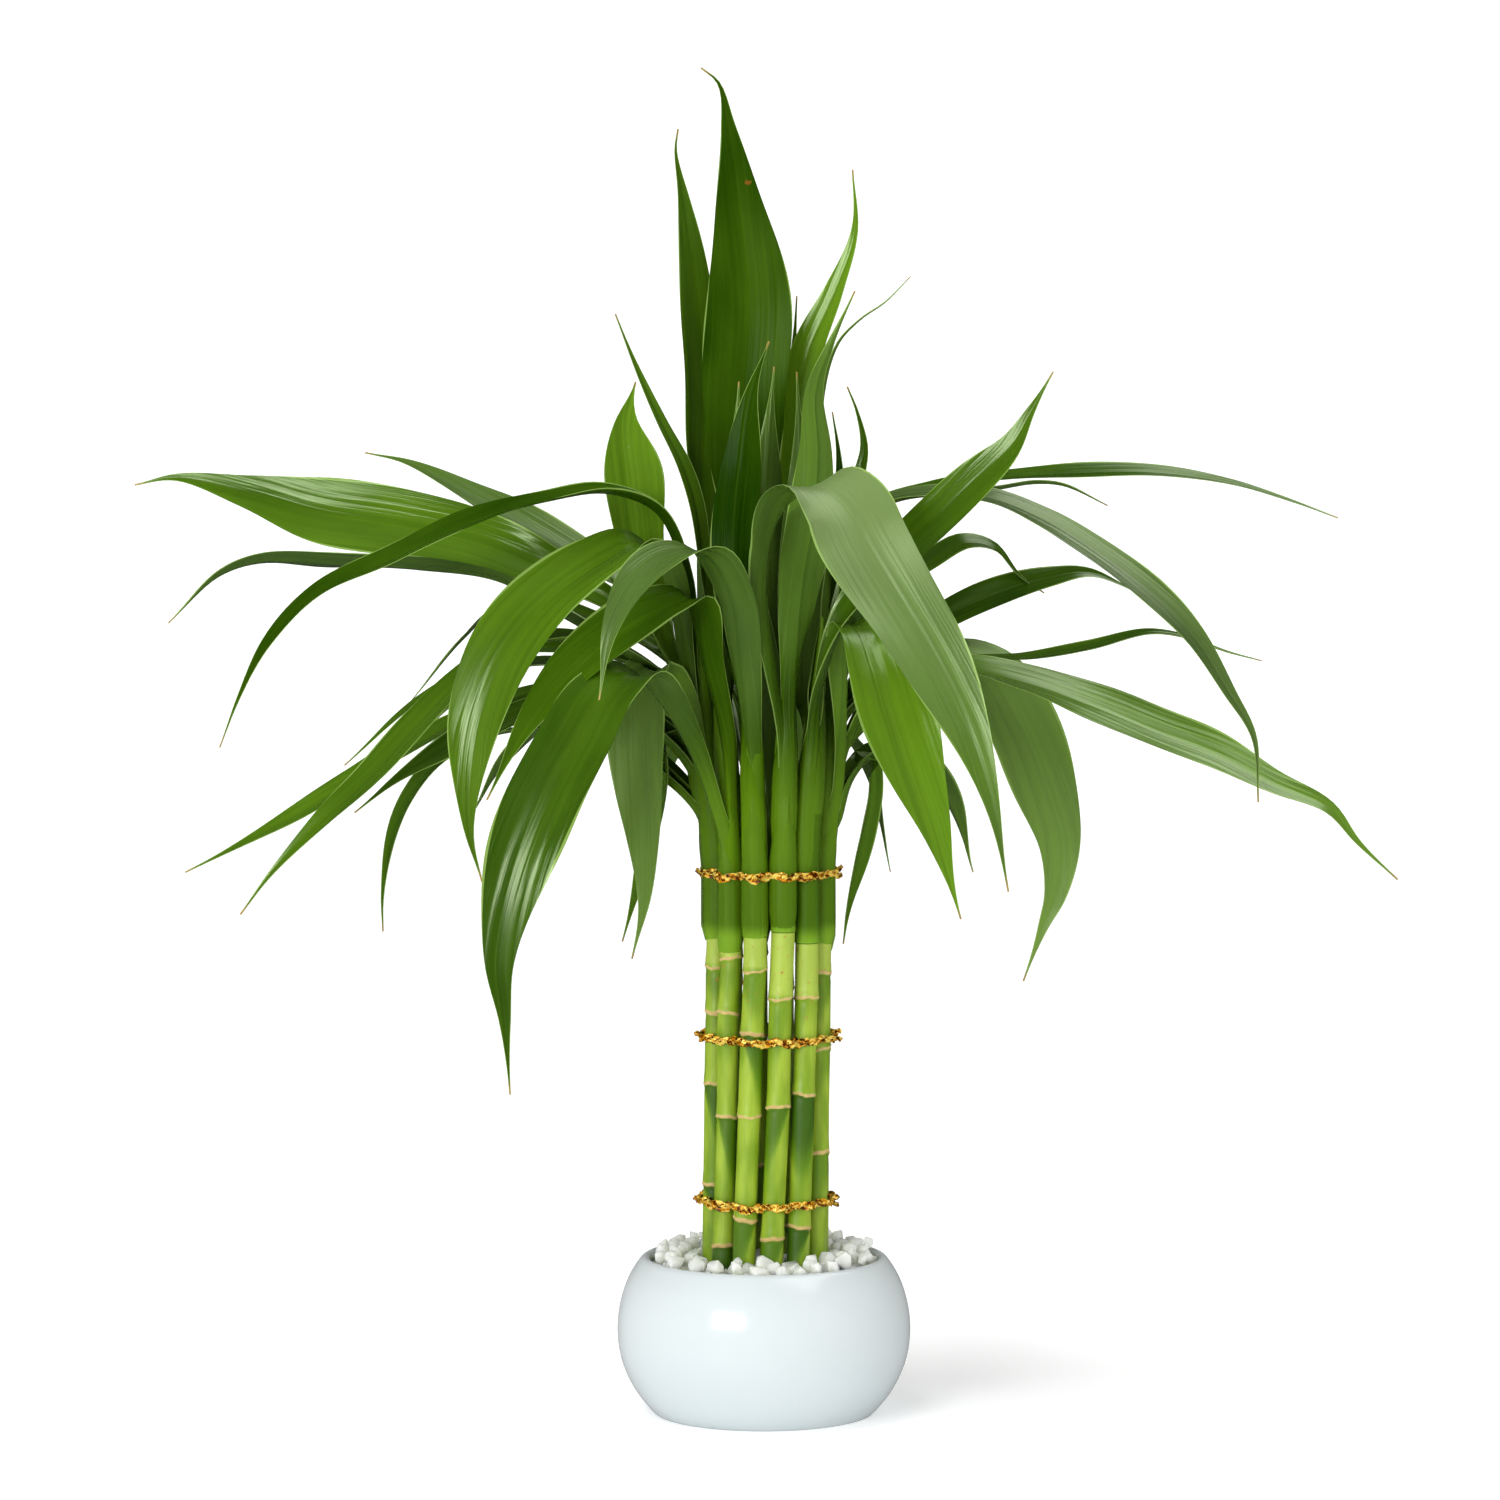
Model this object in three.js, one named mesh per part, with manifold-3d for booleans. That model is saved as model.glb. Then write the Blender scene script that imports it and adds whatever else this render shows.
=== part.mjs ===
// A pot of lucky bamboo: twelve canes in a ring, tied three times, standing in stones in a round bowl.
// Units are millimetres, +Z is up, -Y is the front, and the origin is the middle of the bowl's foot.

import * as THREE from 'three';
import { mergeVertices } from 'three/addons/utils/BufferGeometryUtils.js';
import Module from 'manifold-3d';

const wasm = await Module();
wasm.setup();

// Driving dimensions of the bowl; profile points are [radius, height]
const BOWL_HEIGHT = 63;
const BOWL_WALL = 4;
const BOWL_SIDES = 36;
const BOWL_OUTSIDE = [
  [43, 0], [46, 1.6], [50.4, 7], [54.8, 14.5], [57.8, 23], [59, 33], [58, 43.5], [54.8, 53.6], [50.4, 61],
];
const BOWL_MOUTH = 46;
const BOWL_LIP = [[48.6, BOWL_HEIGHT - 0.5], [47.4, BOWL_HEIGHT], [BOWL_MOUTH, BOWL_HEIGHT - 1.6]];
const FLOOR_THICKNESS = 4.5;
const FLOOR_ROUNDING = 5;

// Driving dimensions of the stone filling; each ring of stones has a radius, a count and a heap height
const FIT_GAP = 0.3;
const STONE_LEVEL = 57;
const STONE_SIZE = [6, 11];
const STONE_BREADTH = [0.6, 0.95];
const STONE_FLATNESS = [0.5, 0.8];
const CORNER_PULL = [0.62, 1];
const STONE_TILT = 0.55;
const STONE_SCATTER = 1.5;
const STONE_SINK = 0.15;
const STONE_SEED = 7;
const STONE_RINGS = [[40, 18, 6.5], [33, 12, 4.5], [13, 7, 5], [4, 3, 5]];
const BED_SIDES = BOWL_SIDES / 2;
const BED_EDGE = 47;
const BED_CROWN = 2;
const HOLE_TOP = 90;

// Driving dimensions of the canes, which stand in a slowly turning ring
const CANE_COUNT = 12;
const CANE_FOOT = 10;
const RING_RADIUS = 21.4;
const RING_TURN = THREE.MathUtils.degToRad(12);
const RING_SHIFT = 2;
const RING_TOP = 194;
const HOLE_GAP = 0.6;
const SCAR_RISE = 0.5;
const SCAR_BELOW = 1.8;
const SCAR_ABOVE = 1.2;
const CANE_TAPER = 0.1;
const CANE_SIDES = 9;

// One row for each cane, going round from the front left: letter, radius, top, and its scars
const CANES = [
  ['A', 4.4, 193, [92, 133, 162, 181]],
  ['B', 4.5, 195, [69, 121, 163, 185]],
  ['C', 4.7, 194, [81, 123, 155, 181]],
  ['D', 4.7, 196, [73, 126, 170]],
  ['E', 4.7, 191, [78, 131, 169]],
  ['F', 4.5, 191, [106, 148, 178]],
  ['G', 4.4, 193, [104, 146, 173]],
  ['H', 4.6, 195, [82, 128, 176]],
  ['I', 4.5, 192, [72, 120, 168]],
  ['J', 4.6, 194, [98, 150, 184]],
  ['K', 4.5, 193, [88, 134, 172]],
  ['L', 4.5, 195, [64, 95, 140, 178]],
];

// Driving dimensions of the shoots: the sheaths splay apart above the top tie
const SPLAY_FROM = 222;
const SPLAY = 0.085;
const SHEATH_WRAP = 0.3;
const SHEATH_ROWS = [[0, 1], [30, 0.98], [72, 0.9], [100, 0.55], [130, 0.1]];

// Driving dimensions of a leaf; shares are of its length, or of the way to its widest place
const BLADE = 0.7;
const RIB = 0.35;
const PETIOLE_WIDTH = 5.4;
const PETIOLE_SWELL = 1.1;
const PETIOLE_FROM = 0.1;
const PETIOLE_TO = 0.8;
const OPENS_AT = 0.2;
const TIP_WIDTH = 1.1;
const TIP_SHARPNESS = 1.15;
const ROOT_BELOW = 8;
const ROOT_ABOVE = 6;
const BLADE_FOLD = 0.16;
const PETIOLE_FOLD = 0.62;
const WAVE_HEIGHT = 0.05;
const WAVE_TURNS = 9;
const STATION = 29;
const LEAST_STATIONS = 6;

// Driving dimensions of the ties; each has a name, a height and a seed
const TIE_HEIGHTS = [['tie_bottom', 86, 5], ['tie_middle', 152, 9], ['tie_top', 218, 13]];
const TIE_THICK = 1.0;
const TIE_TALL = [2.3, 3.4];
const TIE_SWAY = 0.45;
const TIE_STEPS = 4;
const TIE_REACH = 2.4;
const TIE_SLACK = 0.25;
const STEM_MOST = 5;
const TAIL_TURNS = [-15, 165];
const TAIL_LENGTH = 5;
const TAIL_TALL = 2.4;
const TAIL_RISE = 1.2;

// The eye that the leaves were measured from: a leaf point is [across, up, back], read in the
// upright plane through the bundle, and back is how far behind that plane it lies.
const EYE = new THREE.Vector3(-5.6, -2200, 430);

function fromFront([across, up, back]) {
  const seen = new THREE.Vector3(across, 0, up);
  return seen.sub(EYE).multiplyScalar((back - EYE.y) / -EYE.y).add(EYE);
}

function seededRandom(seed) {
  let state = seed;
  return () => {
    state = (state * 1664525 + 1013904223) % 4294967296;
    return state / 4294967296;
  };
}

function stemAngle(index, height) {
  const below = Math.max(0, RING_TOP - height) / RING_TOP;
  return THREE.MathUtils.degToRad(-75 + 30 * index) - RING_TURN * below;
}

function stemPoint(index, height) {
  const angle = stemAngle(index, height);
  const radius = RING_RADIUS + Math.max(0, height - SPLAY_FROM) * SPLAY;
  const shift = RING_SHIFT * Math.min(1, height / RING_TOP);
  return new THREE.Vector3(shift + radius * Math.sin(angle), -radius * Math.cos(angle), height);
}

// A closed solid through rings of points that all have the same count; a loop has no end caps.
function loft(rings, loop = false) {
  const positions = [];
  const triangles = [];
  const count = rings[0].length;
  rings.forEach((ring) => ring.forEach((point) => positions.push(point.x, point.y, point.z)));
  const last = loop ? rings.length : rings.length - 1;
  for (let row = 0; row < last; row += 1) {
    for (let side = 0; side < count; side += 1) {
      const here = row * count + side;
      const beside = row * count + ((side + 1) % count);
      const above = ((row + 1) % rings.length) * count + side;
      const across = ((row + 1) % rings.length) * count + ((side + 1) % count);
      triangles.push([here, beside, across], [here, across, above]);
    }
  }
  if (!loop) {
    for (let side = 1; side < count - 1; side += 1) {
      const top = (rings.length - 1) * count;
      triangles.push([0, side + 1, side], [top, top + side, top + side + 1]);
    }
  }
  const geometry = new THREE.BufferGeometry();
  geometry.setAttribute('position', new THREE.Float32BufferAttribute(positions, 3));
  geometry.setIndex(triangles.flat());
  return geometry;
}

function circleRing(center, radius, sides) {
  return Array.from({ length: sides }, (_, side) => {
    const angle = (2 * Math.PI * side) / sides;
    const x = center.x + radius * Math.cos(angle);
    const y = center.y + radius * Math.sin(angle);
    return new THREE.Vector3(x, y, center.z);
  });
}

function toSolid(geometry) {
  const bare = geometry.clone();
  bare.deleteAttribute('normal');
  bare.deleteAttribute('uv');
  const merged = mergeVertices(bare, 1e-4);
  const mesh = new wasm.Mesh({
    numProp: 3,
    vertProperties: new Float32Array(merged.attributes.position.array),
    triVerts: new Uint32Array(merged.index.array),
  });
  return new wasm.Manifold(mesh);
}

function toGeometry(solid) {
  const mesh = solid.getMesh();
  const geometry = new THREE.BufferGeometry();
  geometry.setAttribute('position', new THREE.Float32BufferAttribute(mesh.vertProperties, 3));
  geometry.setIndex(Array.from(mesh.triVerts));
  geometry.computeVertexNormals();
  return geometry;
}

function joined(solids) {
  return solids.reduce((whole, solid) => whole.add(solid));
}

// The biggest of the pieces that a cut leaves, so that no scrap stays loose
function largest(solid) {
  return solid.decompose().reduce((best, piece) => (piece.volume() > best.volume() ? piece : best));
}

function finish(color, roughness) {
  return new THREE.MeshStandardMaterial({ color, roughness, metalness: 0 });
}

const plant = new THREE.Group();

function addPiece(name, geometry, material) {
  const piece = new THREE.Mesh(geometry, material);
  piece.name = name;
  plant.add(piece);
}

// The bowl

function bowlInside(shrink) {
  const lower = BOWL_OUTSIDE.slice(2, 8).map(([radius, height]) => [radius - BOWL_WALL - shrink, height]);
  return [[lower[0][0] - FLOOR_ROUNDING, FLOOR_THICKNESS + shrink], ...lower];
}

function makeBowl() {
  const inside = bowlInside(0).reverse();
  const profile = [[0, 0], ...BOWL_OUTSIDE, ...BOWL_LIP, ...inside, [0, FLOOR_THICKNESS]];
  const points = profile.map(([radius, height]) => new THREE.Vector2(radius, height));
  const geometry = new THREE.LatheGeometry(points, BOWL_SIDES);
  geometry.rotateX(Math.PI / 2);
  return toSolid(geometry);
}

// The stones, one bed raised into chips, with a plain hole for each cane

function between(random, [low, high]) {
  return THREE.MathUtils.lerp(low, high, random());
}

// One chip: a box whose corners are each pulled in by chance, turned and tilted
function makeChip(random, center, size) {
  const deep = size * between(random, STONE_BREADTH);
  const tall = size * between(random, STONE_FLATNESS);
  const chip = new THREE.BoxGeometry(size, deep, tall);
  const bare = mergeVertices(chip.deleteAttribute('normal').deleteAttribute('uv'));
  const corners = bare.attributes.position;
  for (let corner = 0; corner < corners.count; corner += 1) {
    const pull = between(random, CORNER_PULL);
    corners.setXYZ(corner, corners.getX(corner) * pull, corners.getY(corner) * pull, corners.getZ(corner));
  }
  bare.rotateZ(2 * Math.PI * random());
  bare.rotateX(between(random, [-STONE_TILT, STONE_TILT]));
  bare.rotateY(between(random, [-STONE_TILT, STONE_TILT]));
  bare.translate(center.x, center.y, center.z);
  return bare;
}

// How high the stones are heaped at a direction: less in front, more against the rim behind
function heapShare(angle) {
  return 0.52 + 0.28 * Math.sin(angle);
}

function makeStoneBed() {
  const random = seededRandom(STONE_SEED);
  const top = [[BED_EDGE, STONE_LEVEL], [0, STONE_LEVEL + BED_CROWN]];
  const profile = [[0, FLOOR_THICKNESS + FIT_GAP], ...bowlInside(FIT_GAP), ...top];
  const points = profile.map(([radius, height]) => new THREE.Vector2(radius, height));
  const bed = new THREE.LatheGeometry(points, BED_SIDES);
  bed.rotateX(Math.PI / 2);
  const mouthRadius = BOWL_MOUTH - FIT_GAP;
  const mouth = new THREE.CylinderGeometry(mouthRadius, mouthRadius, BOWL_HEIGHT, BOWL_SIDES);
  mouth.rotateX(Math.PI / 2);
  mouth.translate(0, 0, STONE_LEVEL + 0.5 * BOWL_HEIGHT - STONE_SIZE[0]);
  const chips = [];
  STONE_RINGS.forEach(([radius, count, heap]) => {
    for (let number = 0; number < count; number += 1) {
      const angle = (2 * Math.PI * (number + between(random, [0, 0.6]))) / count;
      const out = radius + between(random, [-STONE_SCATTER, STONE_SCATTER]);
      const size = between(random, STONE_SIZE);
      const sunk = between(random, [0, STONE_SCATTER]) - STONE_SINK * size;
      const level = STONE_LEVEL + heap * heapShare(angle) + sunk;
      const center = new THREE.Vector3(out * Math.cos(angle), out * Math.sin(angle), level);
      chips.push(toSolid(makeChip(random, center, size)));
    }
  });
  const holes = CANES.map(([, radius], index) => {
    const heights = [CANE_FOOT - FIT_GAP, HOLE_TOP];
    const wide = radius + HOLE_GAP;
    const rings = heights.map((height) => circleRing(stemPoint(index, height), wide, CANE_SIDES));
    return toSolid(loft(rings));
  });
  const heaped = joined(chips).intersect(toSolid(mouth));
  return largest(toSolid(bed).add(heaped).subtract(joined(holes)));
}

// A cane, with a raised scar where each old leaf ringed it

function makeCane(index) {
  const [, radius, top, scars] = CANES[index];
  const rows = [[CANE_FOOT, radius - CANE_TAPER]];
  scars.forEach((height) => {
    rows.push([height - SCAR_BELOW, radius]);
    rows.push([height, radius + SCAR_RISE]);
    rows.push([height + SCAR_ABOVE, radius - CANE_TAPER]);
  });
  rows.push([top, radius - CANE_TAPER]);
  const rings = rows.map(([height, wide]) => circleRing(stemPoint(index, height), wide, CANE_SIDES));
  return toSolid(loft(rings));
}

// The leaves. Each row: stem, full width, height at which it leaves the stem, where it is widest
// (0 root, 1 tip), the way it leans (0 right, 90 back, 180 left, -90 front, in degrees, from root to tip),
// its roll (more shows more of its upper face to the front), and the points that its midrib passes.

const LEAVES = [
  // Upright in the middle
  ['J', 36, 280, 0.55, [90, 90], [0, 0], [[-8, 310, 27], [-8, 366, 27], [-8, 406, 27], [-6, 446, 28],
    [-10, 486, 28], [-14, 514, 26], [-18, 532, 24], [-25, 538, 22]]],
  ['K', 18, 292, 0.6, [130, 115], [0, 0], [[-21, 320, 24], [-24, 350, 31], [-25, 380, 34], [-25, 414, 36],
    [-28, 454, 36], [-32, 486, 35], [-35, 506, 34], [-34, 514, 33]]],
  ['C', 19, 262, 0.6, [265, 265], [0, 0], [[-8, 290, -28], [-11, 315, -27], [-12, 350, -21],
    [-9, 382, -15], [-5, 410, -13], [2, 430, -12]]],
  ['I', 18, 290, 0.5, [60, 60], [0, 0], [[11, 320, 34], [13, 366, 38], [13, 398, 39], [18, 426, 38],
    [28, 450, 37], [36, 474, 36], [35, 498, 34]]],
  ['D', 20, 275, 0.42, [-60, -70], [0, 0], [[12, 305, -31], [15, 335, -29], [19, 358, -21],
    [21, 386, -10], [20, 410, -4], [26, 428, -3], [36, 450, -2]]],
  ['E', 7, 285, 0.5, [-30, 0], [0, 0], [[24, 320, -12], [27, 350, -2], [24, 380, 5], [23, 406, 8],
    [29, 429, 10], [38, 439, 11], [48, 446, 12], [58, 456, 13]]],
  ['I', 10, 285, 0.5, [90, 90], [0, 0], [[5, 330, 40], [8, 380, 46], [12, 430, 47], [13, 448, 47]]],
  ['H', 9, 290, 0.5, [45, 45], [0, 0], [[26, 320, 23], [30, 350, 25], [30, 382, 25], [27, 402, 25]]],
  ['G', 10, 288, 0.45, [20, 70], [0, 0], [[33, 320, 8], [35, 340, 9], [35, 358, 10], [38, 376, 10],
    [40, 388, 10], [37, 402, 10], [33, 412, 10]]],
  ['K', 9, 285, 0.55, [150, 130], [0, 0], [[-21, 312, 16], [-24, 342, 17], [-27, 364, 17], [-32, 380, 17],
    [-41, 398, 18], [-50, 418, 19], [-59, 441, 20]]],
  ['L', 27, 270, 0.72, [150, 110], [0, 0], [[-32, 292, 8], [-42, 312, 10], [-50, 348, 12], [-53, 374, 13],
    [-55, 398, 14], [-51, 414, 15]]],

  // Arching to the left, from high to low
  ['K', 31, 272, 0.62, [150, 180], [40, 75], [[-28, 296, 22], [-46, 316, 27], [-82, 336, 36],
    [-114, 350, 43], [-146, 357, 50], [-178, 362, 56], [-206, 370, 60], [-234, 376, 63],
    [-251, 373, 65]]],
  ['A', 22, 262, 0.62, [190, 195], [0, 20], [[-28, 300, -6], [-31, 336, -8], [-42, 362, -12],
    [-62, 370, -16], [-86, 367, -20], [-118, 358, -25], [-150, 343, -29], [-178, 330, -32],
    [-198, 310, -34], [-210, 288, -36], [-218, 268, -37]]],
  ['L', 18, 262, 0.6, [180, 180], [0, -35], [[-32, 284, 8], [-52, 304, 11], [-82, 322, 14],
    [-106, 335, 16], [-138, 340, 18], [-174, 342, 20], [-201, 343, 22], [-218, 337, 24],
    [-238, 318, 26]]],
  ['J', 20, 272, 0.6, [150, 160], [0, 40], [[-14, 296, 34], [-30, 316, 44], [-50, 330, 52],
    [-74, 345, 60], [-110, 366, 72], [-142, 382, 82], [-159, 386, 86]]],
  ['A', 33, 248, 0.6, [205, 240], [0, 25], [[-27, 275, -9], [-33, 306, -13], [-40, 338, -18],
    [-50, 349, -23], [-66, 342, -29], [-88, 326, -35], [-104, 306, -39], [-114, 282, -42],
    [-118, 258, -44], [-118, 234, -45], [-113, 214, -46]]],
  ['C', 21, 236, 0.62, [260, 235], [0, 15], [[-5, 268, -28], [-8, 300, -35], [-12, 328, -41],
    [-22, 345, -48], [-35, 346, -54], [-50, 336, -64], [-61, 316, -71], [-66, 287, -74]]],
  ['B', 24, 240, 0.6, [240, 225], [0, 30], [[-15, 270, -23], [-23, 303, -28], [-28, 327, -31],
    [-40, 325, -38], [-62, 312, -46], [-82, 294, -53], [-97, 274, -58], [-111, 247, -62]]],
  ['B', 33, 226, 0.5, [230, 250], [0, 20], [[-20, 246, -24], [-28, 266, -32], [-40, 286, -43],
    [-51, 297, -54], [-63, 290, -63], [-75, 270, -70], [-88, 246, -76], [-100, 214, -81],
    [-106, 182, -83], [-104, 158, -84], [-102, 128, -85]]],
  ['A', 27, 234, 0.5, [215, 255], [0, 0], [[-25, 256, -8], [-36, 288, -12], [-44, 299, -15],
    [-49, 291, -17], [-50, 270, -19], [-49, 250, -20], [-48, 232, -21], [-48, 206, -21],
    [-53, 183, -21]]],
  ['L', 20, 232, 0.5, [185, 225], [0, 0], [[-27, 252, 7], [-34, 270, 10], [-39, 271, 13], [-41, 257, 15],
    [-45, 236, 16], [-50, 214, 17], [-57, 190, 17]]],
  ['A', 18, 255, 0.6, [190, 200], [0, 40], [[-30, 284, -5], [-50, 303, -8], [-72, 311, -11],
    [-98, 309, -14], [-122, 294, -17], [-138, 278, -19], [-158, 256, -21], [-178, 238, -23],
    [-198, 217, -25], [-210, 201, -26]]],
  ['L', 16, 250, 0.62, [180, 180], [0, 45], [[-32, 272, 8], [-66, 291, 12], [-104, 286, 15],
    [-146, 266, 18], [-166, 254, 19], [-186, 242, 20], [-210, 229, 21], [-232, 218, 22]]],
  ['K', 13, 262, 0.6, [165, 175], [0, 35], [[-26, 286, 22], [-60, 304, 34], [-106, 306, 42],
    [-126, 294, 45], [-142, 284, 47], [-168, 261, 50]]],
  ['K', 14, 268, 0.6, [150, 165], [0, 20], [[-26, 292, 28], [-60, 316, 42], [-102, 326, 55],
    [-120, 312, 59], [-142, 286, 62]]],
  ['L', 21, 242, 0.55, [180, 185], [0, 45], [[-30, 262, 5], [-58, 284, 5], [-86, 285, 3], [-110, 276, 2],
    [-126, 268, 1], [-146, 256, 0], [-164, 242, -1]]],
  ['L', 13, 232, 0.62, [180, 225], [0, 0], [[-34, 252, 10], [-70, 272, 19], [-105, 274, 27],
    [-130, 262, 33], [-142, 248, 35], [-149, 232, 36], [-153, 208, 36], [-153, 194, 36]]],
  ['K', 15, 256, 0.6, [150, 170], [0, 20], [[-28, 276, 30], [-62, 298, 50], [-100, 300, 66],
    [-124, 286, 73], [-138, 273, 77]]],

  // Arching to the right, from the front backwards
  ['D', 35, 240, 0.56, [-10, -5, 0, 0, -10, -65, -85, -80, -75, -75, -70, -70], [0, 15], [[9, 262, -26],
    [3, 300, -30], [0, 330, -33], [3, 354, -37], [10, 368, -43], [21, 372, -51], [32, 364, -58],
    [41, 348, -65], [53, 328, -71], [66, 306, -77], [77, 285, -81], [85, 266, -85], [92, 242, -88],
    [98, 210, -90]]],
  ['F', 31, 232, 0.6, [-10, -10, -10, -10, -15, -55, -65, -65, -65, -65, -65, -65], [0, 15], [
    [30, 256, -9], [32, 290, -11], [33, 309, -15], [37, 317, -22], [42, 314, -31], [47, 301, -39],
    [53, 281, -45], [61, 257, -50], [68, 237, -52], [73, 220, -53], [79, 199, -54]]],
  ['E', 23, 262, 0.6, [-20, 0], [20, 70], [[22, 292, -24], [36, 326, -30], [56, 347, -34], [70, 360, -37],
    [84, 374, -40], [98, 388, -42], [106, 402, -43], [115, 418, -44]]],
  ['H', 12, 294, 0.55, [20, 10], [0, 40], [[31, 336, 25], [42, 362, 28], [68, 372, 32], [94, 376, 36],
    [126, 378, 40], [158, 378, 44], [186, 374, 47], [210, 367, 49], [229, 360, 50]]],
  ['I', 11, 280, 0.6, [40, 30], [0, -15], [[18, 335, 42], [38, 364, 52], [62, 371, 60], [88, 371, 67],
    [108, 374, 73], [120, 373, 76], [137, 365, 79]]],
  ['F', 16, 272, 0.6, [-5, -20], [0, 50], [[30, 320, -7], [36, 352, -8], [50, 366, -9], [88, 368, -12],
    [110, 360, -14], [130, 348, -16], [154, 330, -18], [172, 312, -20], [186, 290, -21], [196, 272, -22],
    [198, 246, -22]]],
  ['G', 11, 268, 0.6, [10, 15], [0, 20], [[36, 286, 9], [54, 296, 13], [82, 303, 19], [106, 304, 24],
    [130, 308, 28], [154, 314, 32], [170, 312, 34], [184, 307, 36], [199, 303, 38]]],
  ['F', 25, 244, 0.5, [-5, -10], [0, 60], [[32, 268, -5], [42, 286, -4], [60, 297, -4], [82, 299, -5],
    [106, 294, -7], [134, 284, -9], [158, 274, -11], [182, 265, -13], [204, 254, -14], [226, 244, -15],
    [238, 230, -16], [254, 215, -17]]],
  ['G', 34, 254, 0.46, [0, -80], [0, 30], [[36, 274, 12], [54, 294, 22], [74, 304, 29], [89, 297, 33],
    [102, 276, 35], [111, 254, 36], [118, 230, 37], [117, 210, 37], [112, 196, 38], [104, 174, 39]]],
  ['H', 13, 268, 0.6, [25, 15], [0, 40], [[30, 300, 23], [42, 324, 28], [66, 342, 36], [80, 350, 41],
    [92, 348, 45], [102, 337, 48], [112, 330, 50]]],
  ['H', 15, 250, 0.6, [25, 20], [0, 65], [[30, 278, 22], [42, 300, 28], [74, 321, 40], [94, 330, 46],
    [114, 336, 50], [130, 338, 53], [150, 330, 56]]],
  ['G', 18, 226, 0.5, [10, -45], [0, 0], [[28, 240, 9], [36, 257, 13], [42, 263, 17], [43, 252, 20],
    [41, 238, 21], [38, 222, 22], [34, 204, 22], [32, 189, 22]]],
  ['I', 14, 240, 0.5, [50, 0], [0, 0], [[18, 262, 32], [32, 272, 38], [42, 256, 42], [47, 238, 43],
    [51, 218, 44]]],
  ['H', 14, 236, 0.6, [35, 10], [0, 0], [[28, 262, 24], [56, 290, 44], [74, 298, 54], [84, 286, 58],
    [90, 268, 60], [94, 251, 61]]],

  // Arching back, behind the ones seen from the front
  ['J', 30, 262, 0.58, [90, 95], [0, 0], [[-6, 290, 36], [-8, 330, 50], [-10, 352, 72], [-12, 346, 104],
    [-14, 318, 136], [-16, 280, 156], [-17, 240, 166]]],
  ['J', 24, 246, 0.55, [110, 120], [0, 0], [[-8, 266, 34], [-14, 290, 56], [-24, 296, 84],
    [-36, 276, 106], [-46, 246, 120], [-52, 214, 128]]],
  ['I', 28, 262, 0.6, [70, 65], [0, 0], [[10, 288, 34], [16, 322, 52], [26, 346, 80], [38, 346, 112],
    [48, 322, 140], [54, 290, 158], [58, 262, 168]]],
  ['I', 25, 246, 0.55, [85, 80], [0, 0], [[6, 264, 32], [8, 290, 52], [12, 296, 76], [16, 278, 100],
    [19, 246, 116], [20, 206, 124]]],
  ['K', 28, 244, 0.6, [130, 130], [0, 0], [[-24, 266, 26], [-36, 288, 50], [-50, 296, 74],
    [-66, 284, 100], [-80, 256, 122], [-88, 226, 134]]],
  ['H', 27, 254, 0.6, [50, 50], [0, 0], [[22, 278, 28], [34, 304, 52], [52, 314, 78], [74, 304, 106],
    [92, 278, 128], [104, 246, 142]]],
  ['G', 20, 240, 0.6, [25, 30], [0, 0], [[34, 258, 14], [50, 268, 36], [64, 262, 50], [76, 244, 60],
    [84, 218, 66]]],
  ['L', 22, 238, 0.6, [150, 155], [0, 0], [[-34, 256, 14], [-60, 274, 34], [-84, 277, 56],
    [-104, 262, 74], [-118, 240, 84]]],

  // Young leaves that fill the inside of the crown
  ['I', 18, 276, 0.5, [-90, -90], [0, 0], [[6, 305, 19], [3, 335, 15], [1, 365, 13], [2, 395, 12],
    [4, 420, 12]]],
  ['H', 20, 250, 0.4, [-100, -90], [0, 0], [[19, 275, 17], [16, 300, 14], [15, 335, 10], [14, 365, 9],
    [14, 392, 9], [13, 418, 9]]],
  ['K', 16, 278, 0.5, [-80, -90], [0, 0], [[-13, 305, 12], [-12, 335, 8], [-11, 365, 6], [-11, 392, 6],
    [-10, 414, 6]]],
  ['K', 22, 250, 0.45, [150, 170], [0, -20], [[-24, 274, 21], [-35, 297, 27], [-46, 315, 31],
    [-57, 330, 33], [-66, 345, 34]]],
  ['J', 15, 212, 0.5, [-90, -90], [0, 0], [[2, 236, 13], [0, 262, 14], [1, 290, 10], [-1, 320, 8],
    [-3, 350, 7]]],
  ['F', 14, 272, 0.5, [-70, -90], [0, 0], [[29, 300, -8], [35, 328, -9], [39, 352, -8], [42, 378, -6]]],
];

function lerpList(values, along) {
  const place = Math.min(along, 0.9999) * (values.length - 1);
  const step = Math.floor(place);
  return THREE.MathUtils.lerp(values[step], values[step + 1], place - step);
}

function bladeWidth(width, widest, along) {
  if (along < widest) {
    const opened = THREE.MathUtils.smoothstep(along, OPENS_AT * widest, widest);
    return THREE.MathUtils.lerp(PETIOLE_WIDTH, Math.max(width, PETIOLE_WIDTH), opened);
  }
  const past = (along - widest) / (1 - widest);
  return TIP_WIDTH + (width - TIP_WIDTH) * Math.cos(0.5 * Math.PI * past ** TIP_SHARPNESS) ** 2;
}

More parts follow.
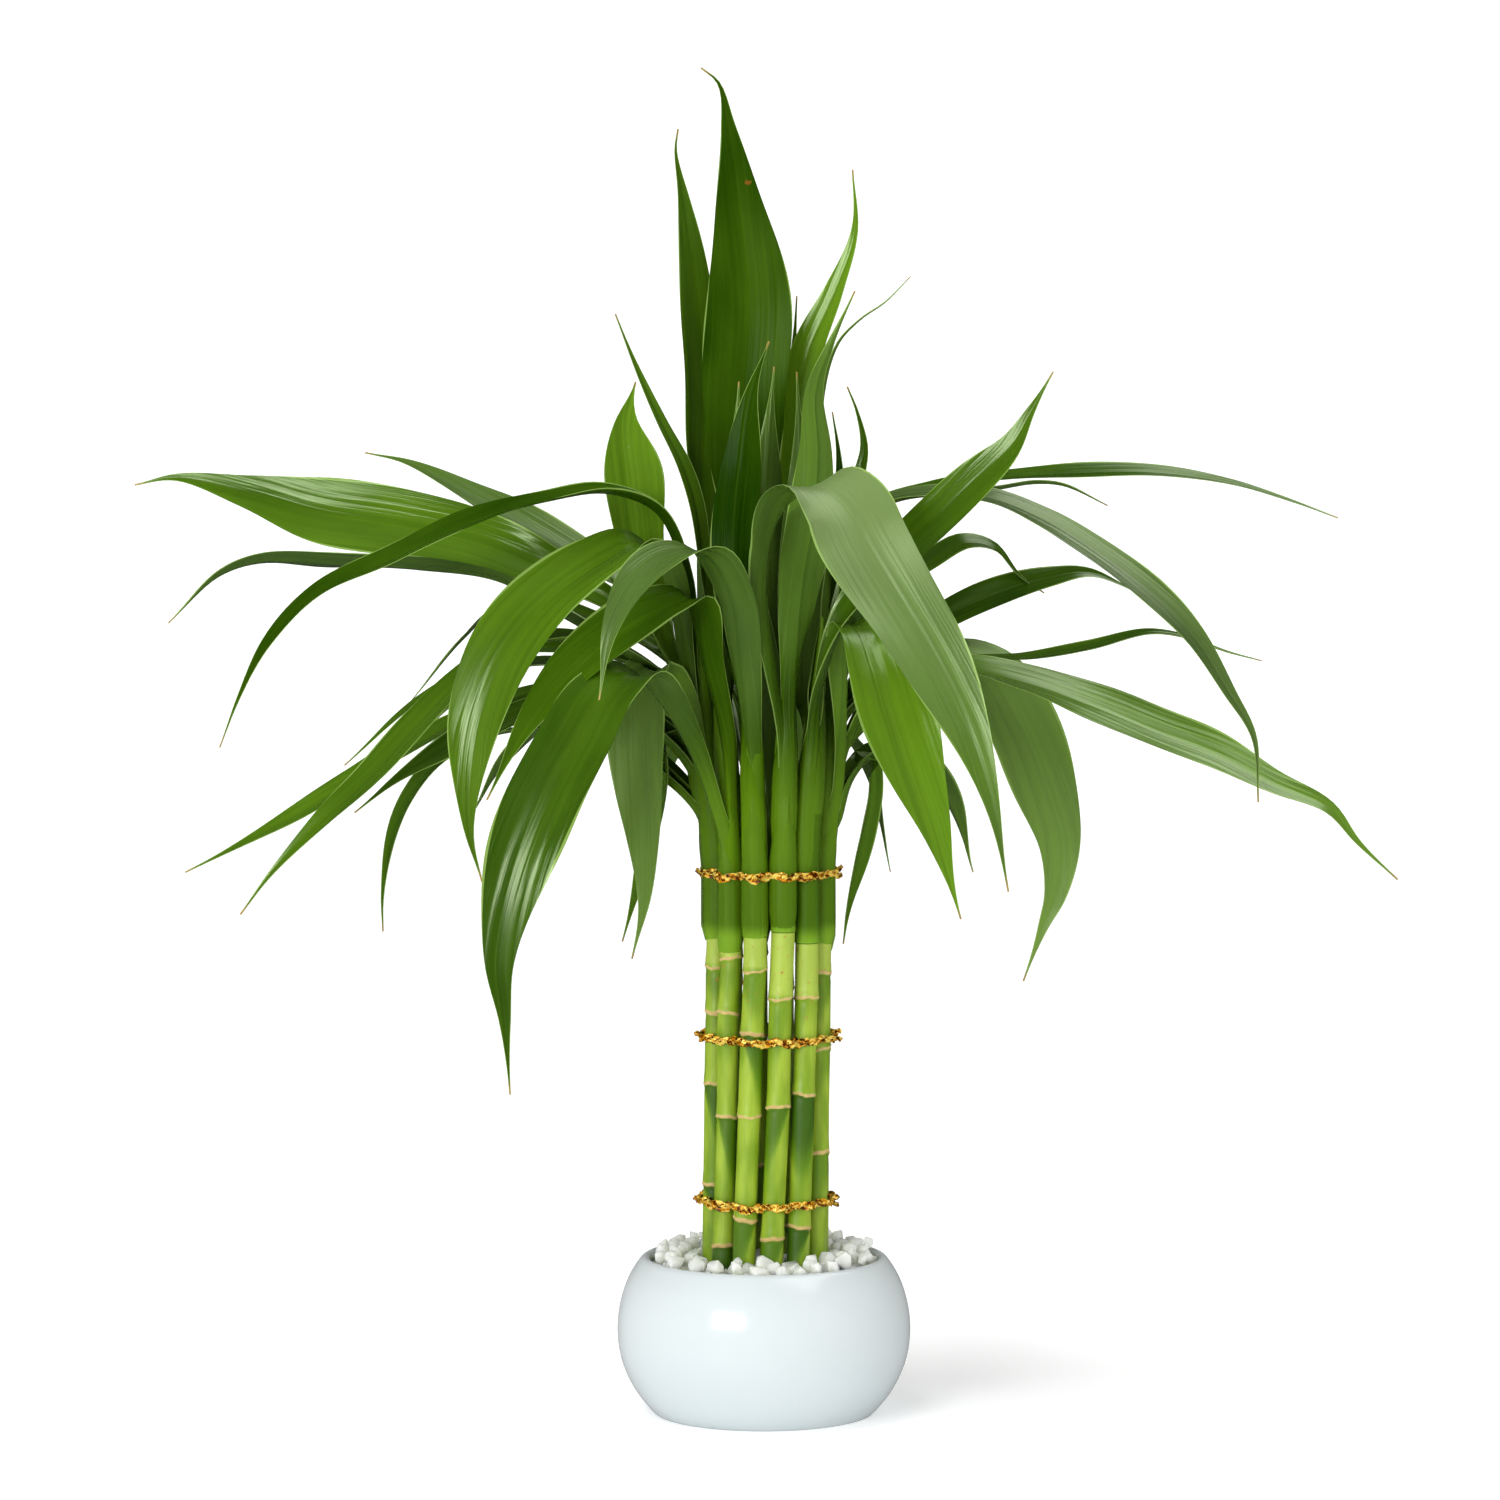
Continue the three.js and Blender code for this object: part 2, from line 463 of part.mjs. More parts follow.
// One leaf: a folded blade on a channelled stalk, swept along its midrib
function makeLeaf([stem, width, root, widest, leans, rolls, seenPoints], number) {
  const index = CANES.findIndex(([letter]) => letter === stem);
  const start = stemPoint(index, root - ROOT_BELOW);
  const exit = stemPoint(index, root + ROOT_ABOVE);
  const seen = seenPoints.map(fromFront);
  const curve = new THREE.CatmullRomCurve3([start, exit, ...seen], false, 'centripetal');
  const steps = Math.max(LEAST_STATIONS, Math.round(curve.getLength() / STATION));
  const flip = Math.cos(THREE.MathUtils.degToRad(leans[0])) < 0 ? -1 : 1;
  const rings = [];
  for (let step = 0; step <= steps; step += 1) {
    const along = step / steps;
    const middle = curve.getPointAt(along);
    const forward = curve.getTangentAt(along);
    const lean = THREE.MathUtils.degToRad(lerpList(leans, along));
    const across = new THREE.Vector3(Math.sin(lean), -Math.cos(lean), 0);
    across.addScaledVector(forward, -across.dot(forward)).normalize();
    across.applyAxisAngle(forward, flip * THREE.MathUtils.degToRad(lerpList(rolls, along)));
    const upper = new THREE.Vector3().crossVectors(across, forward);
    const half = 0.5 * bladeWidth(width, widest, along);
    const stalk = 1 - THREE.MathUtils.smoothstep(along, PETIOLE_FROM, PETIOLE_TO * widest);
    const thick = BLADE + PETIOLE_SWELL * stalk;
    const open = Math.sin(Math.PI * along);
    const wave = WAVE_HEIGHT * half * open * Math.sin(WAVE_TURNS * along + number);
    const place = (sideways, raised) => {
      return middle.clone().addScaledVector(across, sideways).addScaledVector(upper, raised);
    };
    const lift = half * THREE.MathUtils.lerp(BLADE_FOLD, PETIOLE_FOLD, stalk);
    rings.push([
      place(half, lift + wave + 0.5 * thick),
      place(half, lift + wave - 0.5 * thick),
      place(0, -0.5 * thick - RIB),
      place(-half, lift - wave - 0.5 * thick),
      place(-half, lift - wave + 0.5 * thick),
      place(0, 0.5 * thick),
    ]);
  }
  return toSolid(loft(rings));
}

// The sheath that wraps the cane's end, with its leaves grown out of it
function makeShoot(index) {
  const [letter, radius, top] = CANES[index];
  const base = top + FIT_GAP;
  const rings = SHEATH_ROWS.map(([up, share]) => {
    return circleRing(stemPoint(index, base + up), (radius + SHEATH_WRAP) * share, CANE_SIDES);
  });
  const leaves = LEAVES.map((leaf, number) => (leaf[0] === letter ? makeLeaf(leaf, number) : null));
  return joined([toSolid(loft(rings)), ...leaves.filter((leaf) => leaf)]);
}

// A foil tie: a crumpled band drawn round the bundle, dipping in between the canes, with two short tails

function tieRadius(turn) {
  const clear = STEM_MOST + FIT_GAP + 0.5 * TIE_THICK + TIE_SLACK;
  const each = (2 * Math.PI) / CANE_COUNT;
  const offset = turn - each * Math.round(turn / each);
  const root = clear ** 2 - (RING_RADIUS * Math.sin(offset)) ** 2;
  const hugging = RING_RADIUS * Math.cos(offset) + Math.sqrt(Math.max(0, root));
  return Math.max(hugging, RING_RADIUS + TIE_REACH);
}

function tiePoint(height, turn, out, up) {
  const shift = RING_SHIFT * Math.min(1, height / RING_TOP);
  const angle = stemAngle(0, height) + turn;
  const radius = tieRadius(turn) + out;
  return new THREE.Vector3(shift + radius * Math.sin(angle), -radius * Math.cos(angle), height + up);
}

function makeTail(height, turn) {
  const half = (0.5 * TIE_THICK) / RING_RADIUS;
  const rings = [0, 0.5, 1].map((along) => {
    const out = along * TAIL_LENGTH;
    const rise = TAIL_RISE * along ** 2;
    const tall = 0.5 * TAIL_TALL * (1 - 0.3 * along);
    return [
      tiePoint(height, turn + half, out, rise + tall),
      tiePoint(height, turn - half, out, rise + tall),
      tiePoint(height, turn - half, out, rise - tall),
      tiePoint(height, turn + half, out, rise - tall),
    ];
  });
  return toSolid(loft(rings));
}

function makeTie(height, seed) {
  const random = seededRandom(seed);
  const count = CANE_COUNT * TIE_STEPS;
  const half = 0.5 * TIE_THICK;
  const rings = Array.from({ length: count }, (_, step) => {
    const turn = (2 * Math.PI * step) / count;
    const tall = 0.5 * between(random, TIE_TALL);
    const sway = between(random, [-TIE_SWAY, TIE_SWAY]);
    return [
      tiePoint(height, turn, -half, sway + tall),
      tiePoint(height, turn, half, sway + tall),
      tiePoint(height, turn, half, sway - tall),
      tiePoint(height, turn, -half, sway - tall),
    ];
  });
  const tails = TAIL_TURNS.map((turn) => makeTail(height, THREE.MathUtils.degToRad(turn)));
  return joined([toSolid(loft(rings, true)), ...tails]);
}

addPiece('pot', toGeometry(makeBowl()), finish(0xdfeaf0, 0.35));
addPiece('stone_bed', toGeometry(makeStoneBed()), finish(0xe4e8dc, 0.45));
CANES.forEach(([letter], index) => {
  const number = String(index + 1).padStart(2, '0');
  addPiece(`cane_${number}`, toGeometry(makeCane(index)), finish(0x9db84a, 0.5));
  addPiece(`shoot_${number}`, toGeometry(makeShoot(index)), finish(0x3f7a22, 0.4));
});
TIE_HEIGHTS.forEach(([name, height, seed]) => {
  addPiece(name, toGeometry(makeTie(height, seed)), finish(0xc88f1e, 0.3));
});

export default plant;
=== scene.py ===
# %% [markdown]
# # A pot of lucky bamboo
# Twelve green canes stand in a ring, tied three times with gold foil, in a round glazed bowl filled with
# white stones. From the end of each cane grows a leafy shoot. The measured solids give the size and place
# of every piece; this lesson makes the surfaces that the eye sees: veined leaves, scarred canes, loose
# stones, crumpled foil and a soft glaze.
#
# We begin with the tools and with the frame of measured solids.

# %% Tools and the measured frame
import math

import bmesh
import bpy
import numpy as np
from mathutils import Matrix, Vector


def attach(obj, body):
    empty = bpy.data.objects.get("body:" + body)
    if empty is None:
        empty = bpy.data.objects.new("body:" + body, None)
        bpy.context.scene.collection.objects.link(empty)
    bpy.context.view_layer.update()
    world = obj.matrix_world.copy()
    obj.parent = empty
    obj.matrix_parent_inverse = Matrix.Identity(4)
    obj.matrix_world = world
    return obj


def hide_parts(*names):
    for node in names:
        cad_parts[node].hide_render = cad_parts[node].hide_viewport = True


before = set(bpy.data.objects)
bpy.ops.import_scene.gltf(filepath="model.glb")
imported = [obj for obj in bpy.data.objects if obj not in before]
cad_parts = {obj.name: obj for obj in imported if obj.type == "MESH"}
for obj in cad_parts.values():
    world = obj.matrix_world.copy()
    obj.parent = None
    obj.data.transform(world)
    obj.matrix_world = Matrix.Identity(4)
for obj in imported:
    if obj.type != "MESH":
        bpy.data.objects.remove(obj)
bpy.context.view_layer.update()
MM = 0.001


def new_object(name, data):
    thing = bpy.data.objects.new(name, data)
    bpy.context.scene.collection.objects.link(thing)
    return thing


print("measured solids:", len(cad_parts))

# %% [markdown]
# ## The eye
# A photograph of a plant is taken from a fixed place, and the leaves are easiest to read from there: how
# far across, how high and, judged, how far back. `from_front` turns such a reading into a place.
# The camera stands where that eye was, a little above the pot and two metres in front, with a long lens.

# %% The eye and the camera
EYE = np.array([-5.6, -2200.0, 430.0])
AIM_HEIGHT = 267.0
VIEW_WIDTH = 600.0
SENSOR = 36.0


def from_front(reading):
    across, up, back = reading
    seen = np.array([across, 0.0, up])
    return EYE + (seen - EYE) * (back - EYE[1]) / -EYE[1]


def make_camera():
    data = bpy.data.cameras.new("camera")
    camera = new_object("camera", data)
    aim = Vector((EYE[0], 0.0, AIM_HEIGHT)) * MM
    camera.location = Vector(EYE) * MM
    camera.rotation_euler = (aim - camera.location).to_track_quat("-Z", "Y").to_euler()
    data.sensor_width = SENSOR
    data.lens = SENSOR * (aim - camera.location).length / (VIEW_WIDTH * MM)
    data.clip_end = 50.0
    bpy.context.scene.camera = camera
    return camera


camera = make_camera()
print("lens in mm:", round(camera.data.lens, 1))

# %% [markdown]
# ## A short way to write materials
# Each finish below is a small graph of nodes. `Graph` keeps them short to write: it makes a node, sets its
# values and joins what feeds it, in one line. The colours of a mix are given as the eye sees them, from 0
# to 255, and turned into the linear values that the shader works in.

# %% Helpers for materials


def seen_colour(red, green, blue):
    """A colour as it looks on a screen, turned into linear light."""
    def linear(value):
        value = value / 255
        return value / 12.92 if value <= 0.04045 else ((value + 0.055) / 1.055) ** 2.4
    return (linear(red), linear(green), linear(blue), 1.0)


class Graph:
    """The nodes of one material, written one line each."""

    def __init__(self, name):
        self.material = bpy.data.materials.new(name)
        self.material.use_nodes = True
        self.tree = self.material.node_tree
        self.tree.nodes.clear()
        self.output = self.tree.nodes.new("ShaderNodeOutputMaterial")

    def feed(self, socket, value):
        if isinstance(value, bpy.types.NodeSocket):
            self.tree.links.new(value, socket)
        else:
            socket.default_value = value

    def node(self, kind, output=0, settings=(), **inputs):
        made = self.tree.nodes.new("ShaderNode" + kind)
        for key, value in dict(settings).items():
            setattr(made, key, value)
        for key, value in inputs.items():
            slot = int(key[1:]) if key[1:].isdigit() else key.replace("_", " ")
            self.feed(made.inputs[slot], value)
        return made.outputs[output]

    def maths(self, operation, first, second=0.0, third=0.0):
        settings = {"operation": operation}
        return self.node("Math", settings=settings, i0=first, i1=second, i2=third)

    def times(self, first, second):
        return self.maths("MULTIPLY", first, second)

    def spread(self, value, low, high, to_low=0.0, to_high=1.0):
        settings = {"interpolation_type": "SMOOTHSTEP"}
        return self.node("MapRange", settings=settings, i0=value, i1=low, i2=high, i3=to_low, i4=to_high)

    def mixed(self, share, first, second):
        made = self.tree.nodes.new("ShaderNodeMix")
        made.data_type = "RGBA"
        self.feed(made.inputs[0], share)
        for slot, colour in ((6, first), (7, second)):
            self.feed(made.inputs[slot], seen_colour(*colour) if isinstance(colour, tuple) else colour)
        return made.outputs[2]

    def attribute(self, name):
        vector = self.node("Attribute", output="Vector", settings={"attribute_name": name})
        split = self.tree.nodes.new("ShaderNodeSeparateXYZ")
        self.tree.links.new(vector, split.inputs[0])
        return split.outputs

    def bundle(self, x, y, z=0.0):
        return self.node("CombineXYZ", i0=x, i1=y, i2=z)

    def noise(self, vector, scale, detail=2.0, roughness=0.5):
        return self.node("TexNoise", Vector=vector, Scale=scale, Detail=detail, Roughness=roughness)

    def bump(self, height, strength, distance):
        return self.node("Bump", Height=height, Strength=strength, Distance=distance)

    def finish(self, **inputs):
        shader = self.node("BsdfPrincipled", **inputs)
        self.tree.links.new(shader, self.output.inputs["Surface"])
        return self.material


print("the middle grey of a screen in linear light:", round(seen_colour(128, 128, 128)[0], 3))

# %% [markdown]
# ## The room
# The plant stands in a white studio. Its floor is a round sheet that curves up into a wall on every side,
# so no corner and no horizon shows from anywhere. The sheet glows a little, because the paper behind a
# studio photograph is lit until it is nearly white.

# %% The floor
FLOOR_REACH = 5.0
FLOOR_RINGS = (0.01, 1.5, 3.0, 4.5)
SWEEP_RADIUS = 3.2
SWEEP_STEPS = 24
WALL_HEIGHT = 7.0
ROOM_SIDES = 96
PAPER_WHITE = (0.9, 0.9, 0.9, 1.0)
PAPER_GLOW = 0.28


def make_room_sheet():
    profile = [(reach, 0.0) for reach in (*FLOOR_RINGS, FLOOR_REACH)]
    for step in range(1, SWEEP_STEPS + 1):
        turn = 0.5 * math.pi * step / SWEEP_STEPS
        reach = FLOOR_REACH + SWEEP_RADIUS * math.sin(turn)
        profile.append((reach, SWEEP_RADIUS * (1 - math.cos(turn))))
    profile.append((FLOOR_REACH + SWEEP_RADIUS, WALL_HEIGHT))
    turns = [2 * math.pi * side / ROOM_SIDES for side in range(ROOM_SIDES)]
    points = []
    for reach, up in profile:
        points += [(reach * math.cos(turn), reach * math.sin(turn), up) for turn in turns]
    faces = [tuple(range(ROOM_SIDES))]
    for row in range(len(profile) - 1):
        for side in range(ROOM_SIDES):
            here, beside = row * ROOM_SIDES + side, row * ROOM_SIDES + (side + 1) % ROOM_SIDES
            faces.append((here, here + ROOM_SIDES, beside + ROOM_SIDES, beside))
    mesh = bpy.data.meshes.new("floor")
    mesh.from_pydata(points, [], faces)
    mesh.shade_smooth()
    look = {"Base_Color": PAPER_WHITE, "Roughness": 0.8}
    glow = {"Emission_Color": PAPER_WHITE, "Emission_Strength": PAPER_GLOW}
    mesh.materials.append(Graph("lit_paper").finish(**look, **glow))
    sheet = new_object("floor", mesh)
    sheet.visible_glossy = False
    print("floor faces:", len(faces))


make_room_sheet()

# %% [markdown]
# The light is soft. A low key lamp at the front left makes the pale gleam on the bowl and the bright side
# of the canes. A wide lamp above on the right gives no light of its own: it only lays its reflection along
# the leaves as a sheen. The other lamps fill the shadows and leave no reflection, because that would turn
# the dark leaves grey.

# %% Lamps and world
PLANT_MIDDLE = (0.0, 0.0, 0.28)
BACKDROP = (0.0, 6.4, 0.8)
WORLD_LIGHT = 0.06


def make_lamp(name, place, aim, size, power, gleams=True, lights=True):
    """A soft lamp that is itself never seen; it may gleam in glossy surfaces, light them, or both."""
    data = bpy.data.lights.new(name, "AREA")
    data.shape = "RECTANGLE"
    data.size, data.size_y = size
    data.energy = power
    lamp = new_object(name, data)
    lamp.location = place
    lamp.rotation_euler = (Vector(aim) - Vector(place)).to_track_quat("-Z", "Y").to_euler()
    lamp.visible_camera = False
    lamp.visible_glossy = gleams
    lamp.visible_diffuse = lights


make_lamp("key_lamp", (-1.15, -2.1, 0.8), PLANT_MIDDLE, (1.1, 0.6), 35.0)
make_lamp("side_lamp", (1.1, -0.1, 2.4), PLANT_MIDDLE, (2.6, 1.3), 60.0, lights=False)
make_lamp("right_fill", (2.0, -1.6, 1.0), PLANT_MIDDLE, (1.6, 1.6), 27.0, gleams=False)
make_lamp("left_fill", (-2.2, -0.8, 0.9), PLANT_MIDDLE, (1.6, 1.6), 9.0, gleams=False)
make_lamp("top_lamp", (-0.7, -0.2, 2.5), PLANT_MIDDLE, (2.0, 1.4), 50.0, gleams=False)
make_lamp("backdrop_lamp", (0.0, 3.4, 3.4), BACKDROP, (4.0, 0.6), 140.0, gleams=False)

world = bpy.data.worlds.new("studio")
bpy.context.scene.world = world
world.use_nodes = True
background = world.node_tree.nodes["Background"]
background.inputs["Color"].default_value = (1.0, 1.0, 1.0, 1.0)
background.inputs["Strength"].default_value = WORLD_LIGHT
bpy.context.scene.view_settings.view_transform = "Standard"

# %% [markdown]
# ## Skins from rings
# Almost everything on a plant is a long thing whose cross-section changes: a cane, a sheath, a leaf. So one
# tool makes them all. `Skin` strings rings of points into a closed surface, and keeps two notes on every
# point for the finishes: `place`, mostly millimetres across and along, and `look`, mostly a tone. What the
# values are is up to each piece. `settle` puts the finished mesh in the place of its measured solids.

# %% A tool that strings rings into a surface


class Skin:
    """Closed surfaces through rings of points, gathered for one mesh."""

    def __init__(self):
        self.points, self.place, self.look, self.faces, self.slots = [], [], [], [], []
        self.count = 0

    def add_rings(self, rings, place=(0, 0, 0), look=(0, 0, 0), loop=False, slot=0):
        rows, sides = rings.shape[:2]
        first = self.count
        self.points.append(rings.reshape(-1, 3))
        self.place.append(np.broadcast_to(place, rings.shape).reshape(-1, 3))
        self.look.append(np.broadcast_to(look, rings.shape).reshape(-1, 3))
        self.count += rows * sides
        last = rows if loop else rows - 1
        row, side = np.meshgrid(np.arange(last), np.arange(sides), indexing="ij")
        above, beside = (row + 1) % rows, (side + 1) % sides
        near, far = row * sides, above * sides
        quads = np.stack([near + side, near + beside, far + beside, far + side], -1)
        faces = (quads.reshape(-1, 4) + first).tolist()
        if not loop:
            faces.append(list(range(first + sides - 1, first - 1, -1)))
            faces.append(list(range(first + (rows - 1) * sides, first + rows * sides)))
        self.faces += faces
        self.slots += [slot] * len(faces)

    def make(self, name, materials, sharp=50.0):
        mesh = bpy.data.meshes.new(name)
        points = np.concatenate(self.points) * MM
        mesh.from_pydata(points.tolist(), [], self.faces)
        mesh.polygons.foreach_set("material_index", self.slots)
        for key, values in (("place", self.place), ("look", self.look)):
            attribute = mesh.attributes.new(key, "FLOAT_VECTOR", "POINT")
            attribute.data.foreach_set("vector", np.concatenate(values).astype(np.float32).ravel())
        for material in materials:
            mesh.materials.append(material)
        mesh.validate()
        mesh.shade_smooth()
        mesh.set_sharp_from_angle(angle=math.radians(sharp))
        return new_object(name, mesh)


def settle(thing, slot, *nodes):
    """Puts a finished piece on the plant's body, in place of the solids that it stands for."""
    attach(thing, "root")
    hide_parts(*nodes)
    print(thing.name, "faces:", len(thing.data.polygons))


box = Skin()
box.add_rings(np.ones((2, 4, 3)))
print("faces of a skin through two rings of four points:", len(box.faces))

# %% [markdown]
# Canes, cores, the bowl and the bed are round. Their rings are swung about an upright axis, so three short
# helpers are enough for all of them. `smooth_step` eases from 0 to 1 between two values, without a corner.

# %% Round things


def round_grid(values, sides):
    """Every value with every turn round the axis."""
    return np.meshgrid(values, np.linspace(0, 2 * np.pi, sides, endpoint=False), indexing="ij")


def swung(radius, turn, height=0.0):
    return np.stack([radius * np.cos(turn), radius * np.sin(turn), height + 0 * turn], -1)


def turned(profile, sides):
    """The rings of a turned shape, from its profile of [radius, height]."""
    profile = np.array(profile)
    radius, turn = round_grid(profile[:, 0], sides)
    return swung(radius, turn, profile[:, 1:2])


def smooth_step(value, low, high):
    share = np.clip((value - low) / (high - low), 0.0, 1.0)
    return share * share * (3 - 2 * share)


print("a ring of four points:", turned([[10, 0]], 4)[0].round(1).tolist())

# %% [markdown]
# ## The ring of canes
# The canes were set in a ring and given a slight twist before they were tied, which is why each one leans a
# little past its neighbour. `stem_point` is the middle line of one cane and of the shoot above it: the ring
# turns by twelve degrees from foot to top, and above the top tie the shoots splay apart.

# %% Where each cane stands
RING_RADIUS = 21.4
RING_START, RING_EACH = -75, 30
RING_TURN = math.radians(12)
RING_SHIFT = 2.0
RING_TOP = 194.0
SPLAY_FROM = 222.0
SPLAY = 0.085
CANE_FOOT = 10.0
FIT_GAP = 0.3

CANES = [
    ["A", 4.4, 193, [92, 133, 162, 181]],
    ["B", 4.5, 195, [69, 121, 163, 185]],
    ["C", 4.7, 194, [81, 123, 155, 181]],
    ["D", 4.7, 196, [73, 126, 170]],
    ["E", 4.7, 191, [78, 131, 169]],
    ["F", 4.5, 191, [106, 148, 178]],
    ["G", 4.4, 193, [104, 146, 173]],
    ["H", 4.6, 195, [82, 128, 176]],
    ["I", 4.5, 192, [72, 120, 168]],
    ["J", 4.6, 194, [98, 150, 184]],
    ["K", 4.5, 193, [88, 134, 172]],
    ["L", 4.5, 195, [64, 95, 140, 178]],
]


def stem_point(index, height):
    height = np.asarray(height, float)
    below = np.maximum(0.0, RING_TOP - height) / RING_TOP
    angle = math.radians(RING_START + RING_EACH * index) - RING_TURN * below
    radius = RING_RADIUS + np.maximum(0.0, height - SPLAY_FROM) * SPLAY
    shift = RING_SHIFT * np.minimum(1.0, height / RING_TOP)
    return np.stack([shift + radius * np.sin(angle), -radius * np.cos(angle), height], -1)


print("first cane foot:", stem_point(0, CANE_FOOT).round(1))

# %% [markdown]
# ## The canes
# A cane keeps a mark for every leaf it once bore: a thin raised scar, tan and a little ragged, that rings
# it at a slant. Just under a scar the cane is dark green where the old sheath shaded it, and that patch
# ends in a slanting point. Here the scars are real ridges, raised ring by ring. The colours come from masks
# that are worked out at the same time: how much scar, how much shade, and how new this stretch is.

# %% The canes' shape
CANE_ROWS = 260
CANE_SIDES = 40
CANE_SEED = 100
SCAR_RISE = 0.5
KINK = 0.45

# For each scar of the front canes, from the foot up: how dark, how long in mm, which way it faces
SHADES = {
    "A": [[0.9, 12, -30], [0.8, 34, -30], [0.3, 12, 200], [0.35, 16, -90]],
    "B": [[1.0, 40, -90], [0.7, 40, -10], [0.15, 12, -30], [0.3, 18, -90]],
    "C": [[0.65, 36, 190], [0.1, 10, -90], [0.75, 30, -10], [0.3, 30, -60]],
    "D": [[0.6, 22, 210], [0.7, 36, 195], [0.2, 20, -90]],
    "E": [[1.0, 26, 200], [0.95, 40, -90], [0.2, 16, -60]],
    "F": [[0.35, 30, -90], [0.25, 20, -60], [0.4, 30, -120]],
}


def cane_marks(index, height, turn, chance):
    """What the scars of one cane do: how far each point swells, how much scar it has and how much shade."""
    letter, radius, top, scars = CANES[index]
    swell = np.full_like(height, radius - 0.1)
    swell += 0.06 * np.sin(height * 0.09 + index) + 0.05 * np.sin(2 * turn + height * 0.03 + index)
    scar = np.zeros_like(height)
    shade = np.zeros_like(height)
    guesses = []
    for level in scars:
        guesses.append([chance.uniform(0.1, 0.9), chance.uniform(12, 36), chance.uniform(0, 360)])
    for level, (dark, deep, facing) in zip(scars, SHADES.get(letter, guesses)):
        slant = 0.8 * np.sin(turn + chance.uniform(0, 6.3))
        slant += 0.2 * np.sin(5 * turn + chance.uniform(0, 6.3))
        away = height - level - slant
        swell += (SCAR_RISE - 0.1) * np.exp(-((away / 0.55) ** 2))
        swell += 0.26 * np.exp(-(((away - 1.6) / 2.4) ** 2)) - 0.14 * np.exp(-(((away + 1.6) / 1.4) ** 2))
        broad = chance.uniform(0.5, 1.0)
        scar = np.maximum(scar, np.exp(-((away / broad) ** 4)))
        reach = deep * (0.42 + 0.58 * np.cos(turn - math.radians(facing)))
        fading = smooth_step(-away, 0.35 * reach, np.maximum(reach, 0) + 3)
        shade = np.maximum(shade, smooth_step(-away, 0.2, 1.0) * (1 - fading) * dark)
    return swell, scar, shade


def cane_rings(index):
    letter, radius, top, scars = CANES[index]
    chance = np.random.default_rng(CANE_SEED + index)
    heights = np.linspace(CANE_FOOT, top, CANE_ROWS)
    height, turn = round_grid(heights, CANE_SIDES)
    swell, scar, shade = cane_marks(index, height, turn, chance)
    joints = [CANE_FOOT, *scars, top]
    bends = chance.uniform(-KINK, KINK, (len(joints), 2))
    bends[[0, -1]] = 0.0
    bend = np.stack([np.interp(heights, joints, bends[:, axis]) for axis in (0, 1)] + [0 * heights], -1)
    rings = (stem_point(index, heights) + bend)[:, None] + swung(swell, turn)
    place = np.stack([turn * radius, height, scar], -1)
    newest = smooth_step(height, scars[-1], scars[-1] + 2)
    look = np.stack([newest, shade, np.full_like(height, index / len(CANES))], -1)
    return rings, place, look


print("rings and points of a cane:", cane_rings(0)[0].shape[:2])

# %% [markdown]
# The cane's finish reads those masks. Fresh yellow-green is laid over a fine lengthwise grain. The shaded
# patches darken it, the scars are tan and rough, and a few brown freckles sit near the top, where the cane
# rubbed its neighbours. The skin is waxy, so it gets a soft even gloss.

# %% The canes' finish


def cane_finish():
    graph = Graph("cane_skin")
    around, along, scar = graph.attribute("place")
    newest, shade, seed = graph.attribute("look")
    offset = graph.times(seed, 90.0)
    grain_at = graph.bundle(graph.times(around, 1.6), graph.maths("MULTIPLY_ADD", along, 0.05, offset))
    grain = graph.noise(grain_at, 1.0, 3.0)
    cloud_at = graph.bundle(graph.times(around, 0.12), graph.maths("MULTIPLY_ADD", along, 0.035, offset))
    cloud = graph.noise(cloud_at, 1.0, 2.0)
    patchy = graph.spread(cloud, 0.3, 0.7)
    fresh = graph.mixed(patchy, (106, 138, 14), (146, 170, 46))
    fresh = graph.mixed(graph.spread(grain, 0.35, 0.7, 0.0, 0.25), fresh, (106, 138, 18))
    fresh = graph.mixed(graph.times(newest, 0.6), fresh, (162, 180, 74))
    ragged = graph.maths("MULTIPLY_ADD", graph.maths("SUBTRACT", grain, 0.5), 0.25, shade)
    fresh = graph.mixed(graph.spread(ragged, 0.02, 0.5, 0.0, 0.9), fresh, (76, 114, 0))
    fresh = graph.mixed(graph.spread(ragged, 0.4, 0.95, 0.0, 0.85), fresh, (46, 82, 4))
    speck_at = graph.bundle(graph.times(around, 0.55), graph.maths("MULTIPLY_ADD", along, 0.4, offset))
    speck = graph.noise(speck_at, 1.0, 3.0, 0.65)
    where = graph.spread(along, 150.0, 172.0)
    freckle = graph.times(graph.spread(speck, 0.635, 0.665), where)
    fresh = graph.mixed(graph.times(freckle, 0.85), fresh, (160, 105, 45))
    tan = graph.mixed(speck, (205, 182, 120), (150, 116, 62))
    colour = graph.mixed(graph.spread(scar, 0.25, 0.8), fresh, tan)
    rough = graph.spread(scar, 0.1, 0.8, 0.36, 0.75)
    normal = graph.bump(graph.maths("ADD", grain, graph.times(freckle, -0.4)), 0.25, 0.0004)
    return graph.finish(Base_Color=colour, Roughness=rough, Normal=normal)


cane_skin = cane_finish()
for index in range(len(CANES)):
    skin = Skin()
    skin.add_rings(*cane_rings(index))
    settle(skin.make(f"cane_{index + 1:02d}_skin", [cane_skin]), "cane", f"cane_{index + 1:02d}")
